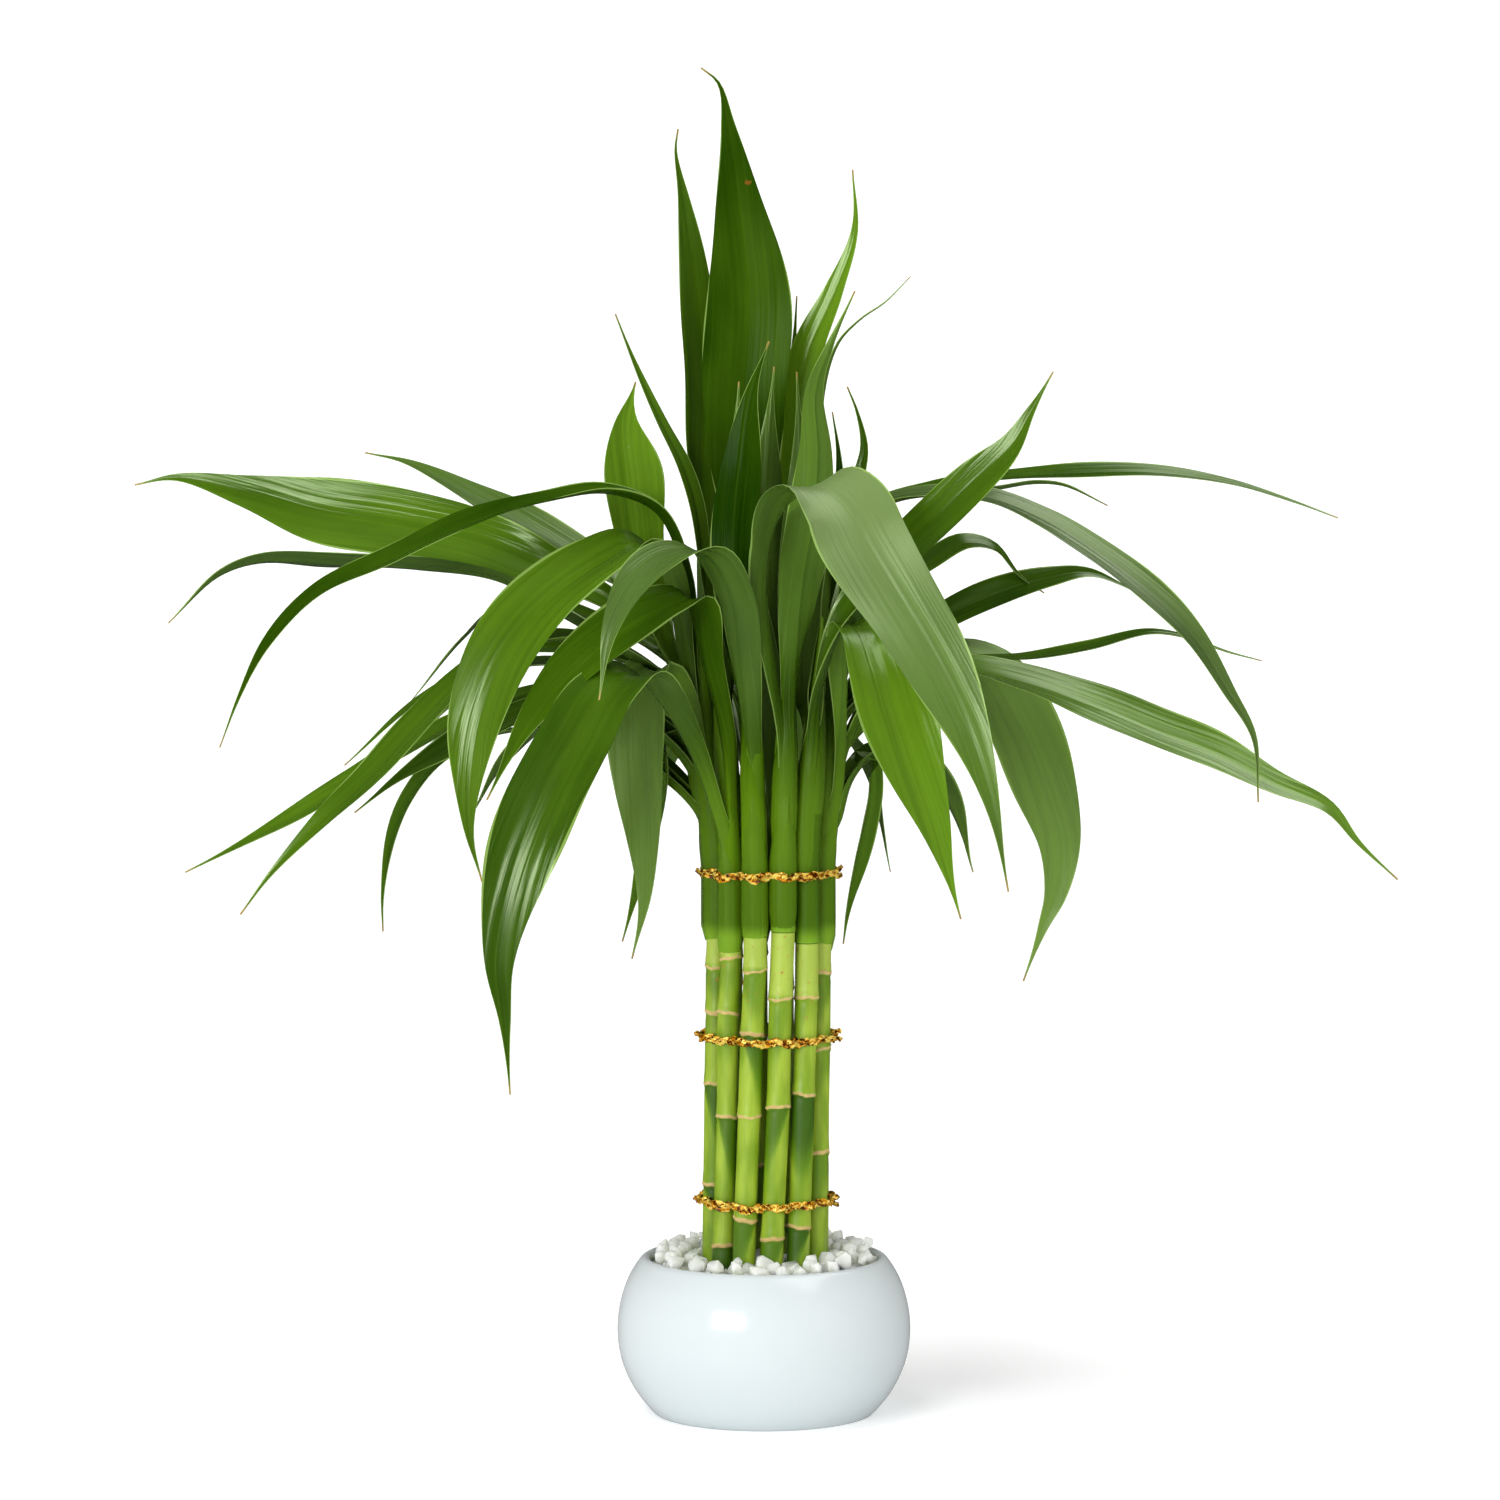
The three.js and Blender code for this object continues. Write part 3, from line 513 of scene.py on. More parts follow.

# %% [markdown]
# ## Reading the leaves
# A leaf of this plant starts as a sheath wrapped round the stem, narrows to a gutter-shaped stalk, opens
# into a long blade and runs out to a thread. Its path could be grown by a rule, but the plant in the
# photograph is one individual, so each midrib is read as a few points. Each row also says how wide
# the blade gets, how high it leaves the stem, where along it is widest, which way it leans (0 right, 90
# back, 180 left, -90 front) and how far it rolls its upper face to the front. Where the front view shows
# nothing, behind the plant, the last rows are guesses in the same manner.

# %% The leaves as read: stem, width, root height, widest at, leans, rolls, midrib points
LEAVES = [
    # Upright in the middle
    ['J', 36, 280, 0.55, [90, 90], [0, 0], [[-8, 310, 27], [-8, 366, 27], [-8, 406, 27], [-6, 446, 28],
      [-10, 486, 28], [-14, 514, 26], [-18, 532, 24], [-25, 538, 22]]],
    ['K', 18, 292, 0.6, [130, 115], [0, 0], [[-21, 320, 24], [-24, 350, 31], [-25, 380, 34], [-25, 414, 36],
      [-28, 454, 36], [-32, 486, 35], [-35, 506, 34], [-34, 514, 33]]],
    ['C', 19, 262, 0.6, [265, 265], [0, 0], [[-8, 290, -28], [-11, 315, -27], [-12, 350, -21],
      [-9, 382, -15], [-5, 410, -13], [2, 430, -12]]],
    ['I', 18, 290, 0.5, [60, 60], [0, 0], [[11, 320, 34], [13, 366, 38], [13, 398, 39], [18, 426, 38],
      [28, 450, 37], [36, 474, 36], [35, 498, 34]]],
    ['D', 20, 275, 0.42, [-60, -70], [0, 0], [[12, 305, -31], [15, 335, -29], [19, 358, -21],
      [21, 386, -10], [20, 410, -4], [26, 428, -3], [36, 450, -2]]],
    ['E', 7, 285, 0.5, [-30, 0], [0, 0], [[24, 320, -12], [27, 350, -2], [24, 380, 5], [23, 406, 8],
      [29, 429, 10], [38, 439, 11], [48, 446, 12], [58, 456, 13]]],
    ['I', 10, 285, 0.5, [90, 90], [0, 0], [[5, 330, 40], [8, 380, 46], [12, 430, 47], [13, 448, 47]]],
    ['H', 9, 290, 0.5, [45, 45], [0, 0], [[26, 320, 23], [30, 350, 25], [30, 382, 25], [27, 402, 25]]],
    ['G', 10, 288, 0.45, [20, 70], [0, 0], [[33, 320, 8], [35, 340, 9], [35, 358, 10], [38, 376, 10],
      [40, 388, 10], [37, 402, 10], [33, 412, 10]]],
    ['K', 9, 285, 0.55, [150, 130], [0, 0], [[-21, 312, 16], [-24, 342, 17], [-27, 364, 17], [-32, 380, 17],
      [-41, 398, 18], [-50, 418, 19], [-59, 441, 20]]],
    ['L', 27, 270, 0.72, [150, 110], [0, 0], [[-32, 292, 8], [-42, 312, 10], [-50, 348, 12], [-53, 374, 13],
      [-55, 398, 14], [-51, 414, 15]]],

    # Arching to the left, from high to low
    ['K', 31, 272, 0.62, [150, 180], [40, 75], [[-28, 296, 22], [-46, 316, 27], [-82, 336, 36],
      [-114, 350, 43], [-146, 357, 50], [-178, 362, 56], [-206, 370, 60], [-234, 376, 63],
      [-251, 373, 65]]],
    ['A', 22, 262, 0.62, [190, 195], [0, 20], [[-28, 300, -6], [-31, 336, -8], [-42, 362, -12],
      [-62, 370, -16], [-86, 367, -20], [-118, 358, -25], [-150, 343, -29], [-178, 330, -32],
      [-198, 310, -34], [-210, 288, -36], [-218, 268, -37]]],
    ['L', 18, 262, 0.6, [180, 180], [0, -35], [[-32, 284, 8], [-52, 304, 11], [-82, 322, 14],
      [-106, 335, 16], [-138, 340, 18], [-174, 342, 20], [-201, 343, 22], [-218, 337, 24],
      [-238, 318, 26]]],
    ['J', 20, 272, 0.6, [150, 160], [0, 40], [[-14, 296, 34], [-30, 316, 44], [-50, 330, 52],
      [-74, 345, 60], [-110, 366, 72], [-142, 382, 82], [-159, 386, 86]]],
    ['A', 33, 248, 0.6, [205, 240], [0, 25], [[-27, 275, -9], [-33, 306, -13], [-40, 338, -18],
      [-50, 349, -23], [-66, 342, -29], [-88, 326, -35], [-104, 306, -39], [-114, 282, -42],
      [-118, 258, -44], [-118, 234, -45], [-113, 214, -46]]],
    ['C', 21, 236, 0.62, [260, 235], [0, 15], [[-5, 268, -28], [-8, 300, -35], [-12, 328, -41],
      [-22, 345, -48], [-35, 346, -54], [-50, 336, -64], [-61, 316, -71], [-66, 287, -74]]],
    ['B', 24, 240, 0.6, [240, 225], [0, 30], [[-15, 270, -23], [-23, 303, -28], [-28, 327, -31],
      [-40, 325, -38], [-62, 312, -46], [-82, 294, -53], [-97, 274, -58], [-111, 247, -62]]],
    ['B', 33, 226, 0.5, [230, 250], [0, 20], [[-20, 246, -24], [-28, 266, -32], [-40, 286, -43],
      [-51, 297, -54], [-63, 290, -63], [-75, 270, -70], [-88, 246, -76], [-100, 214, -81],
      [-106, 182, -83], [-104, 158, -84], [-102, 128, -85]]],
    ['A', 27, 234, 0.5, [215, 255], [0, 0], [[-25, 256, -8], [-36, 288, -12], [-44, 299, -15],
      [-49, 291, -17], [-50, 270, -19], [-49, 250, -20], [-48, 232, -21], [-48, 206, -21],
      [-53, 183, -21]]],
    ['L', 20, 232, 0.5, [185, 225], [0, 0], [[-27, 252, 7], [-34, 270, 10], [-39, 271, 13], [-41, 257, 15],
      [-45, 236, 16], [-50, 214, 17], [-57, 190, 17]]],
    ['A', 18, 255, 0.6, [190, 200], [0, 40], [[-30, 284, -5], [-50, 303, -8], [-72, 311, -11],
      [-98, 309, -14], [-122, 294, -17], [-138, 278, -19], [-158, 256, -21], [-178, 238, -23],
      [-198, 217, -25], [-210, 201, -26]]],
    ['L', 16, 250, 0.62, [180, 180], [0, 45], [[-32, 272, 8], [-66, 291, 12], [-104, 286, 15],
      [-146, 266, 18], [-166, 254, 19], [-186, 242, 20], [-210, 229, 21], [-232, 218, 22]]],
    ['K', 13, 262, 0.6, [165, 175], [0, 35], [[-26, 286, 22], [-60, 304, 34], [-106, 306, 42],
      [-126, 294, 45], [-142, 284, 47], [-168, 261, 50]]],
    ['K', 14, 268, 0.6, [150, 165], [0, 20], [[-26, 292, 28], [-60, 316, 42], [-102, 326, 55],
      [-120, 312, 59], [-142, 286, 62]]],
    ['L', 21, 242, 0.55, [180, 185], [0, 45], [[-30, 262, 5], [-58, 284, 5], [-86, 285, 3], [-110, 276, 2],
      [-126, 268, 1], [-146, 256, 0], [-164, 242, -1]]],
    ['L', 13, 232, 0.62, [180, 225], [0, 0], [[-34, 252, 10], [-70, 272, 19], [-105, 274, 27],
      [-130, 262, 33], [-142, 248, 35], [-149, 232, 36], [-153, 208, 36], [-153, 194, 36]]],
    ['K', 15, 256, 0.6, [150, 170], [0, 20], [[-28, 276, 30], [-62, 298, 50], [-100, 300, 66],
      [-124, 286, 73], [-138, 273, 77]]],

    # Arching to the right, from the front backwards
    ['D', 35, 240, 0.56, [-10, -5, 0, 0, -10, -65, -85, -80, -75, -75, -70, -70], [0, 15], [[9, 262, -26],
      [3, 300, -30], [0, 330, -33], [3, 354, -37], [10, 368, -43], [21, 372, -51], [32, 364, -58],
      [41, 348, -65], [53, 328, -71], [66, 306, -77], [77, 285, -81], [85, 266, -85], [92, 242, -88],
      [98, 210, -90]]],
    ['F', 31, 232, 0.6, [-10, -10, -10, -10, -15, -55, -65, -65, -65, -65, -65, -65], [0, 15], [
      [30, 256, -9], [32, 290, -11], [33, 309, -15], [37, 317, -22], [42, 314, -31], [47, 301, -39],
      [53, 281, -45], [61, 257, -50], [68, 237, -52], [73, 220, -53], [79, 199, -54]]],
    ['E', 23, 262, 0.6, [-20, 0], [20, 70], [[22, 292, -24], [36, 326, -30], [56, 347, -34], [70, 360, -37],
      [84, 374, -40], [98, 388, -42], [106, 402, -43], [115, 418, -44]]],
    ['H', 12, 294, 0.55, [20, 10], [0, 40], [[31, 336, 25], [42, 362, 28], [68, 372, 32], [94, 376, 36],
      [126, 378, 40], [158, 378, 44], [186, 374, 47], [210, 367, 49], [229, 360, 50]]],
    ['I', 11, 280, 0.6, [40, 30], [0, -15], [[18, 335, 42], [38, 364, 52], [62, 371, 60], [88, 371, 67],
      [108, 374, 73], [120, 373, 76], [137, 365, 79]]],
    ['F', 16, 272, 0.6, [-5, -20], [0, 50], [[30, 320, -7], [36, 352, -8], [50, 366, -9], [88, 368, -12],
      [110, 360, -14], [130, 348, -16], [154, 330, -18], [172, 312, -20], [186, 290, -21], [196, 272, -22],
      [198, 246, -22]]],
    ['G', 11, 268, 0.6, [10, 15], [0, 20], [[36, 286, 9], [54, 296, 13], [82, 303, 19], [106, 304, 24],
      [130, 308, 28], [154, 314, 32], [170, 312, 34], [184, 307, 36], [199, 303, 38]]],
    ['F', 25, 244, 0.5, [-5, -10], [0, 60], [[32, 268, -5], [42, 286, -4], [60, 297, -4], [82, 299, -5],
      [106, 294, -7], [134, 284, -9], [158, 274, -11], [182, 265, -13], [204, 254, -14], [226, 244, -15],
      [238, 230, -16], [254, 215, -17]]],
    ['G', 34, 254, 0.46, [0, -80], [0, 30], [[36, 274, 12], [54, 294, 22], [74, 304, 29], [89, 297, 33],
      [102, 276, 35], [111, 254, 36], [118, 230, 37], [117, 210, 37], [112, 196, 38], [104, 174, 39]]],
    ['H', 13, 268, 0.6, [25, 15], [0, 40], [[30, 300, 23], [42, 324, 28], [66, 342, 36], [80, 350, 41],
      [92, 348, 45], [102, 337, 48], [112, 330, 50]]],
    ['H', 15, 250, 0.6, [25, 20], [0, 65], [[30, 278, 22], [42, 300, 28], [74, 321, 40], [94, 330, 46],
      [114, 336, 50], [130, 338, 53], [150, 330, 56]]],
    ['G', 18, 226, 0.5, [10, -45], [0, 0], [[28, 240, 9], [36, 257, 13], [42, 263, 17], [43, 252, 20],
      [41, 238, 21], [38, 222, 22], [34, 204, 22], [32, 189, 22]]],
    ['I', 14, 240, 0.5, [50, 0], [0, 0], [[18, 262, 32], [32, 272, 38], [42, 256, 42], [47, 238, 43],
      [51, 218, 44]]],
    ['H', 14, 236, 0.6, [35, 10], [0, 0], [[28, 262, 24], [56, 290, 44], [74, 298, 54], [84, 286, 58],
      [90, 268, 60], [94, 251, 61]]],

    # Arching back, behind the ones seen from the front
    ['J', 30, 262, 0.58, [90, 95], [0, 0], [[-6, 290, 36], [-8, 330, 50], [-10, 352, 72], [-12, 346, 104],
      [-14, 318, 136], [-16, 280, 156], [-17, 240, 166]]],
    ['J', 24, 246, 0.55, [110, 120], [0, 0], [[-8, 266, 34], [-14, 290, 56], [-24, 296, 84],
      [-36, 276, 106], [-46, 246, 120], [-52, 214, 128]]],
    ['I', 28, 262, 0.6, [70, 65], [0, 0], [[10, 288, 34], [16, 322, 52], [26, 346, 80], [38, 346, 112],
      [48, 322, 140], [54, 290, 158], [58, 262, 168]]],
    ['I', 25, 246, 0.55, [85, 80], [0, 0], [[6, 264, 32], [8, 290, 52], [12, 296, 76], [16, 278, 100],
      [19, 246, 116], [20, 206, 124]]],
    ['K', 28, 244, 0.6, [130, 130], [0, 0], [[-24, 266, 26], [-36, 288, 50], [-50, 296, 74],
      [-66, 284, 100], [-80, 256, 122], [-88, 226, 134]]],
    ['H', 27, 254, 0.6, [50, 50], [0, 0], [[22, 278, 28], [34, 304, 52], [52, 314, 78], [74, 304, 106],
      [92, 278, 128], [104, 246, 142]]],
    ['G', 20, 240, 0.6, [25, 30], [0, 0], [[34, 258, 14], [50, 268, 36], [64, 262, 50], [76, 244, 60],
      [84, 218, 66]]],
    ['L', 22, 238, 0.6, [150, 155], [0, 0], [[-34, 256, 14], [-60, 274, 34], [-84, 277, 56],
      [-104, 262, 74], [-118, 240, 84]]],

    # Young leaves that fill the inside of the crown
    ['I', 18, 276, 0.5, [-90, -90], [0, 0], [[6, 305, 19], [3, 335, 15], [1, 365, 13], [2, 395, 12],
      [4, 420, 12]]],
    ['H', 20, 250, 0.4, [-100, -90], [0, 0], [[19, 275, 17], [16, 300, 14], [15, 335, 10], [14, 365, 9],
      [14, 392, 9], [13, 418, 9]]],
    ['K', 16, 278, 0.5, [-80, -90], [0, 0], [[-13, 305, 12], [-12, 335, 8], [-11, 365, 6], [-11, 392, 6],
      [-10, 414, 6]]],
    ['K', 22, 250, 0.45, [150, 170], [0, -20], [[-24, 274, 21], [-35, 297, 27], [-46, 315, 31],
      [-57, 330, 33], [-66, 345, 34]]],
    ['J', 15, 212, 0.5, [-90, -90], [0, 0], [[2, 236, 13], [0, 262, 14], [1, 290, 10], [-1, 320, 8],
      [-3, 350, 7]]],
    ['F', 14, 272, 0.5, [-70, -90], [0, 0], [[29, 300, -8], [35, 328, -9], [39, 352, -8], [42, 378, -6]]],
]
print("leaves:", len(LEAVES))

# %% [markdown]
# ## The line of a midrib
# A smooth curve through hand-read points should not overshoot where the points crowd together at a fold.
# The centripetal kind of Catmull-Rom curve is made for that. It is drawn finely and then cut into even
# steps, so the rings of the blade sit evenly.

# %% Curves for the midribs
FINE = 30


def smooth_curve(points):
    points = np.array(points, float)
    ends = np.concatenate([[2 * points[0] - points[1]], points, [2 * points[-1] - points[-2]]])
    line = []
    for a, b, c, d in zip(ends, ends[1:], ends[2:], ends[3:]):
        gaps = [max(1e-4, np.linalg.norm(q - p) ** 0.5) for p, q in ((a, b), (b, c), (c, d))]
        leave = ((b - a) / gaps[0] - (c - a) / (gaps[0] + gaps[1]) + (c - b) / gaps[1]) * gaps[1]
        arrive = ((c - b) / gaps[1] - (d - b) / (gaps[1] + gaps[2]) + (d - c) / gaps[2]) * gaps[1]
        t = np.linspace(0, 1, FINE, endpoint=False)[:, None]
        cubic = 2 * b - 2 * c + leave + arrive
        square = -3 * b + 3 * c - 2 * leave - arrive
        line.append(b + t * leave + t ** 2 * square + t ** 3 * cubic)
    line.append(points[-1:])
    return np.concatenate(line)


def measured(line):
    steps = np.linalg.norm(np.diff(line, axis=0), axis=1)
    return np.concatenate([[0.0], np.cumsum(steps)])


def at_lengths(line, lengths, wanted):
    return np.stack([np.interp(wanted, lengths, line[:, axis]) for axis in range(3)], -1)


def listed(values, share):
    return np.interp(share, np.linspace(0, 1, len(values)), values)


print("length of the first midrib in mm:", round(measured(smooth_curve(LEAVES[0][6]))[-1]))

# %% [markdown]
# ## The line and the lie of a leaf
# A leaf is a middle line with two directions at every step: sideways, and up through its face. The line
# hugs the stem as a sheath first, then leaves it. The sideways direction follows from which way the leaf
# leans, and it is rolled about the line by as much as was read. Near the stem both give way to the
# direction in which the sheath faces, so that the leaf grows out of its sheath without a kink.

# %% How a leaf runs
STEMS = "ABCDEFGHIJKL"
ROW_STEP = 3.0
LEAST_ROWS = 24
ROOT_BELOW, ROOT_ABOVE = 8, 6
SHEATH_LENGTH = 34.0
SHEATH_WRAP = 0.3
SHEATH_CLEAR = 0.3
SEATED_OVER = 6
LETS_GO = (4, 40)
LEANS_OVER = 60
CORE_ROWS = [[0, 1], [30, 0.98], [72, 0.9], [100, 0.55], [130, 0.1]]


def unit(vectors):
    return vectors / np.maximum(1e-9, np.linalg.norm(vectors, axis=-1, keepdims=True))


def core_radius(index, height):
    letter, radius, top, scars = CANES[index]
    ups, shares = zip(*CORE_ROWS)
    return (radius + SHEATH_WRAP) * np.interp(height - top - FIT_GAP, ups, shares)


def leaf_line(row, rank):
    """The middle line in even steps, the way the sheath faces, how far along each step is, and the hug."""
    stem, width, root, widest, leans, rolls, readings = row
    index = STEMS.index(stem)
    start, leave = stem_point(index, root - ROOT_BELOW), stem_point(index, root + ROOT_ABOVE)
    seen = [from_front(reading) for reading in readings]
    line = smooth_curve([start, leave, *seen])
    lengths = measured(line)
    whole = lengths[-1]
    outward = unit((seen[0] - stem_point(index, seen[0][2])) * [1, 1, 0])
    sheath = min(SHEATH_LENGTH, root - CANES[index][2] - FIT_GAP - SHEATH_CLEAR)
    rows = max(LEAST_ROWS, int((whole + sheath) / ROW_STEP))
    away = np.linspace(-sheath, whole, rows)
    middle = at_lengths(line, lengths, away)
    middle = np.where(away[:, None] < 0, stem_point(index, start[2] + np.minimum(away, 0)), middle)
    seated = smooth_step(away + sheath, 0, SEATED_OVER)
    hug = core_radius(index, middle[:, 2]) - 0.4 + (0.5 + 0.25 * rank) * seated
    middle = middle + outward * (hug * (1 - smooth_step(away, *LETS_GO)))[:, None]
    return middle, outward, away, np.clip(away / whole, 0, 1), hug


def leaf_directions(middle, outward, away, share, leans, rolls):
    """Sideways and up through the leaf's face, at every step of its middle line."""
    forward = unit(np.gradient(middle, axis=0))
    lean = np.radians(listed(leans, share))
    turned = math.atan2(outward[1], outward[0])
    turned += 2 * math.pi * round((lean[0] - turned) / (2 * math.pi))
    lean = turned + (lean - turned) * smooth_step(away, 0, LEANS_OVER)
    across = np.stack([np.sin(lean), -np.cos(lean), 0 * lean], -1)
    across = unit(across - forward * np.sum(across * forward, -1, keepdims=True))
    flip = -1 if math.cos(math.radians(leans[0])) < 0 else 1
    roll = flip * np.radians(listed(rolls, share))[:, None]
    across = across * np.cos(roll) + np.cross(forward, across) * np.sin(roll)
    return across, np.cross(across, forward)


print("steps along the first leaf:", len(leaf_line(LEAVES[0], 0)[0]))

# %% [markdown]
# ## The cross-section of a leaf
# The cross-section is an arc. In the sheath the arc goes nearly all the way round the stem, in the stalk
# it is a gutter, and in the blade it is almost flat, with a slight fold at the midrib. Blending the arc's
# length and its bend along the leaf gives all three with one rule. The margins are gently waved, in and out
# and up and down, and the blade has shallow pleats, as on the living plant. The underside is a second skin
# a little under half a millimetre below the first.

# %% A leaf's cross-section
HALF_COLUMNS = 8
EVEN_COLUMNS = 0.65
PETIOLE_WIDTH = 7.0
TIP_WIDTH = 0.7
WRAP_LENGTH = 3.35
WRAP_ENDS = (-12, 26)
STALK_BEND = 0.34
BLADE_BEND = 0.16
BLADE_FOLD = 0.12
OVERLAP = 0.05
RUFFLE = 0.045
WAVE = 0.05
PLEAT = 0.13
MIDRIB_GROOVE = 0.22
BLADE_THICKNESS = 0.42


def blade_width(width, widest, share):
    opened = smooth_step(share, 0.2 * widest, widest)
    opening = PETIOLE_WIDTH + (max(width, PETIOLE_WIDTH) - PETIOLE_WIDTH) * opened
    past = np.clip((share - widest) / (1 - widest), 0, 1)
    closing = TIP_WIDTH + (width - TIP_WIDTH) * np.cos(0.5 * np.pi * past ** 1.15) ** 2
    return np.where(share < widest, opening, closing)


def leaf_columns():
    """Where the columns lie from margin (-1) to margin (1): a little closer together at the margins."""
    even = np.linspace(-1, 1, 2 * HALF_COLUMNS + 1)
    return (1 - EVEN_COLUMNS) * np.sin(0.5 * np.pi * even) + EVEN_COLUMNS * even


def leaf_section(width, widest, away, share, hug, phases):
    """For every point: its way round the arc, its distance from the margin, and both skins."""
    half = 0.5 * blade_width(width, widest, share)
    wrap = 1 - smooth_step(away, *WRAP_ENDS)
    stalk = 1 - smooth_step(share, 0.1, 0.8 * widest)
    reach = half + (WRAP_LENGTH * hug - half) * wrap
    bend = (STALK_BEND * stalk + BLADE_BEND / np.maximum(half, 2) * (1 - stalk)) * (1 - wrap) + wrap / hug
    fold = BLADE_FOLD * (1 - stalk) * (1 - wrap)
    broad = (smooth_step(share, 0.15, 0.4) * (1 - smooth_step(share, 0.8, 1.0)))[:, None]
    along, half, wrap, stalk = away[:, None], half[:, None], wrap[:, None], stalk[:, None]

    column = leaf_columns()
    margin = np.sign(column)
    ruffle = np.sin(along / 13 + phases[2] + 2.6 * margin)
    ruffle = ruffle + 0.6 * np.sin(along / 31 + phases[3] + 2.6 * margin)
    side = reach[:, None] * column * (1 + RUFFLE * broad * ruffle)
    bend = bend[:, None] * (1 - OVERLAP * column * wrap)
    arc = bend * side
    sideways = np.sin(arc) / bend
    raised = (1 - np.cos(arc)) / bend + fold[:, None] * np.abs(side)
    wave = np.sin(along / 17 + phases[0] + 2.2 * margin)
    wave = wave + 0.5 * np.sin(along / 7.5 + phases[1] + 1.7 * margin)
    raised = raised + broad * WAVE * half * wave * np.abs(column) ** 2.2
    pleat = np.sin(side * 1.15 + phases[2]) + 0.6 * np.sin(side * 2.6 + phases[3])
    raised = raised + PLEAT * broad * pleat * np.cos(0.5 * np.pi * column)
    raised = raised - MIDRIB_GROOVE * np.exp(-((side / 0.9) ** 2)) * (1 - wrap)

    thick = BLADE_THICKNESS * (1 + 1.6 * stalk * (1 - wrap)) * (1 - 0.45 * np.abs(column) ** 3)
    thick = thick * (1 - 0.5 * smooth_step(share, 0.9, 1.0))[:, None]
    rib = (0.15 + 0.5 * stalk * (1 - wrap)) * np.exp(-((side / 1.0) ** 2))
    low_sideways = sideways + thick * np.sin(arc)
    low_raised = raised - thick * np.cos(arc) - rib
    edge = reach[:, None] - np.abs(side)
    return side, edge, (sideways, raised), (low_sideways, low_raised)


print("columns from margin to margin:", leaf_columns().round(2).tolist())

# %% [markdown]
# ## One leaf
# Now the two come together: every point of the section is carried to its step of the line. What the finish
# needs is noted on the way. `place` holds the way round the arc, the way along the leaf and how much paler
# and greyer the skin is painted: below that is the leaf's own paler underside, on top it is a painted
# sheen.
# `look` holds the leaf's tone, the distance from its margin and the share of its length.
#
# Most leaves draw their tone by chance. A table gives it for the ones that stand out in the photograph,
# from 0, deep green, to 1, bright. These listed tones are partly the leaves' own colour and partly painted
# light and shade: each was set so that the leaf comes out as bright as it looks where it stands, darker in
# the shade inside the crown. A second table names the leaves with a painted sheen on top, a paler
# grey-green that stands in for the reflection of the light, and says how much of it they have towards the
# stem and towards the tip. The `DULL` leaves stand so that they would mirror the key lamp all over, which
# the real ones do not, so they get a second material and no paler underside. The number in all three is the
# leaf's row in the list, counted from 0.

# %% A leaf's rings
LEAF_SEED = 500
# Listed tones: partly the leaf's own colour, partly painted light and shade, set so that each leaf is as
# bright as it looks where it stands.
TONES_WITH_PAINTED_LIGHT = {
    0: 0.16, 1: 0.38, 2: 0.08, 3: 0.85, 4: 0.6, 10: 1.0, 11: 0.5, 12: 0.2, 15: 0.48, 16: 0.32, 17: 0.3,
    18: 0.26, 19: 0.8, 20: 0.6, 28: 0.46, 29: 0.84, 30: 0.4, 35: 0.7, 36: 0.95,
}
# Painted sheen: the top skin of these leaves is painted paler and greyer, towards the stem and towards the
# tip, standing in for the reflection of the light.
PAINTED_SHEEN = {
    14: (0.4, 0.4), 16: (0.5, 0.5), 19: (0.7, 0.7), 28: (1.8, 0.3),
    33: (0.6, 0.6), 35: (0.3, 0.3), 36: (0.8, 0.8), 40: (0.6, 0.6),
}
PAINTED_SHEEN_BETWEEN = (0.45, 0.85)
DULL = {0, 2, 12, 17}
UNDERSIDE_BLOOM = 0.3


def leaf_rings(row, number, rank):
    stem, width, root, widest, leans, rolls, readings = row
    chance = np.random.default_rng(LEAF_SEED + number)
    phases = chance.uniform(0, 2 * np.pi, 4)
    tone = TONES_WITH_PAINTED_LIGHT.get(number, 0.15 + 0.35 * chance.uniform())
    middle, outward, away, share, hug = leaf_line(row, rank)
    across, upper = leaf_directions(middle, outward, away, share, leans, rolls)
    side, edge, top, low = leaf_section(width, widest, away, share, hug, phases)

    def placed(sideways, raised):
        return middle[:, None] + across[:, None] * sideways[..., None] + upper[:, None] * raised[..., None]

    rings = np.concatenate([placed(*low)[:, ::-1], placed(*top)], axis=1)
    every = np.ones_like(side)
    # Painted sheen on the top skin; below, the underside's own paler colour.
    grey = np.interp(share, PAINTED_SHEEN_BETWEEN, PAINTED_SHEEN.get(number, (0.0, 0.0)))[:, None]
    pale_and_sheen = 0.0 if number in DULL else UNDERSIDE_BLOOM
    over = np.stack([side, away[:, None] * every, grey * every], -1)
    under = np.stack([side, away[:, None] * every, pale_and_sheen * every], -1)
    place = np.concatenate([under[:, ::-1], over], axis=1)
    seen = np.stack([tone * every, edge, share[:, None] * every], -1)
    look = np.concatenate([seen[:, ::-1], seen], axis=1)
    return rings, place, look


print("rings and points of the first leaf:", leaf_rings(LEAVES[0], 0, 0)[0].shape[:2])

# %% [markdown]
# ## The leaf's finish
# Up close the blade is not one green. Fine veins run its whole length, it is darker in broad clouds, the
# margin is a thin pale line, the underside is paler and duller, and the thread at the tip has dried. The
# veins are a noise stretched along the leaf. Used as a bump as well, they break the lamp's reflection into
# the long streaks that make the leaf look polished. The material for the `DULL` leaves is the same with
# hardly any reflection.

# %% The leaf's finish

# Small injuries: where they are read, radius in mm, strength and colour
MARKS = [
    [[-6.4, 493, 27], 2.2, 0.9, (110, 70, 22)],
    [[-54, 396, 11], 4.5, 0.75, (200, 214, 192)],
    [[-53, 388, 11], 4.0, 0.75, (200, 214, 192)],
    [[52, 248, -50], 2.6, 0.5, (170, 198, 140)],
]


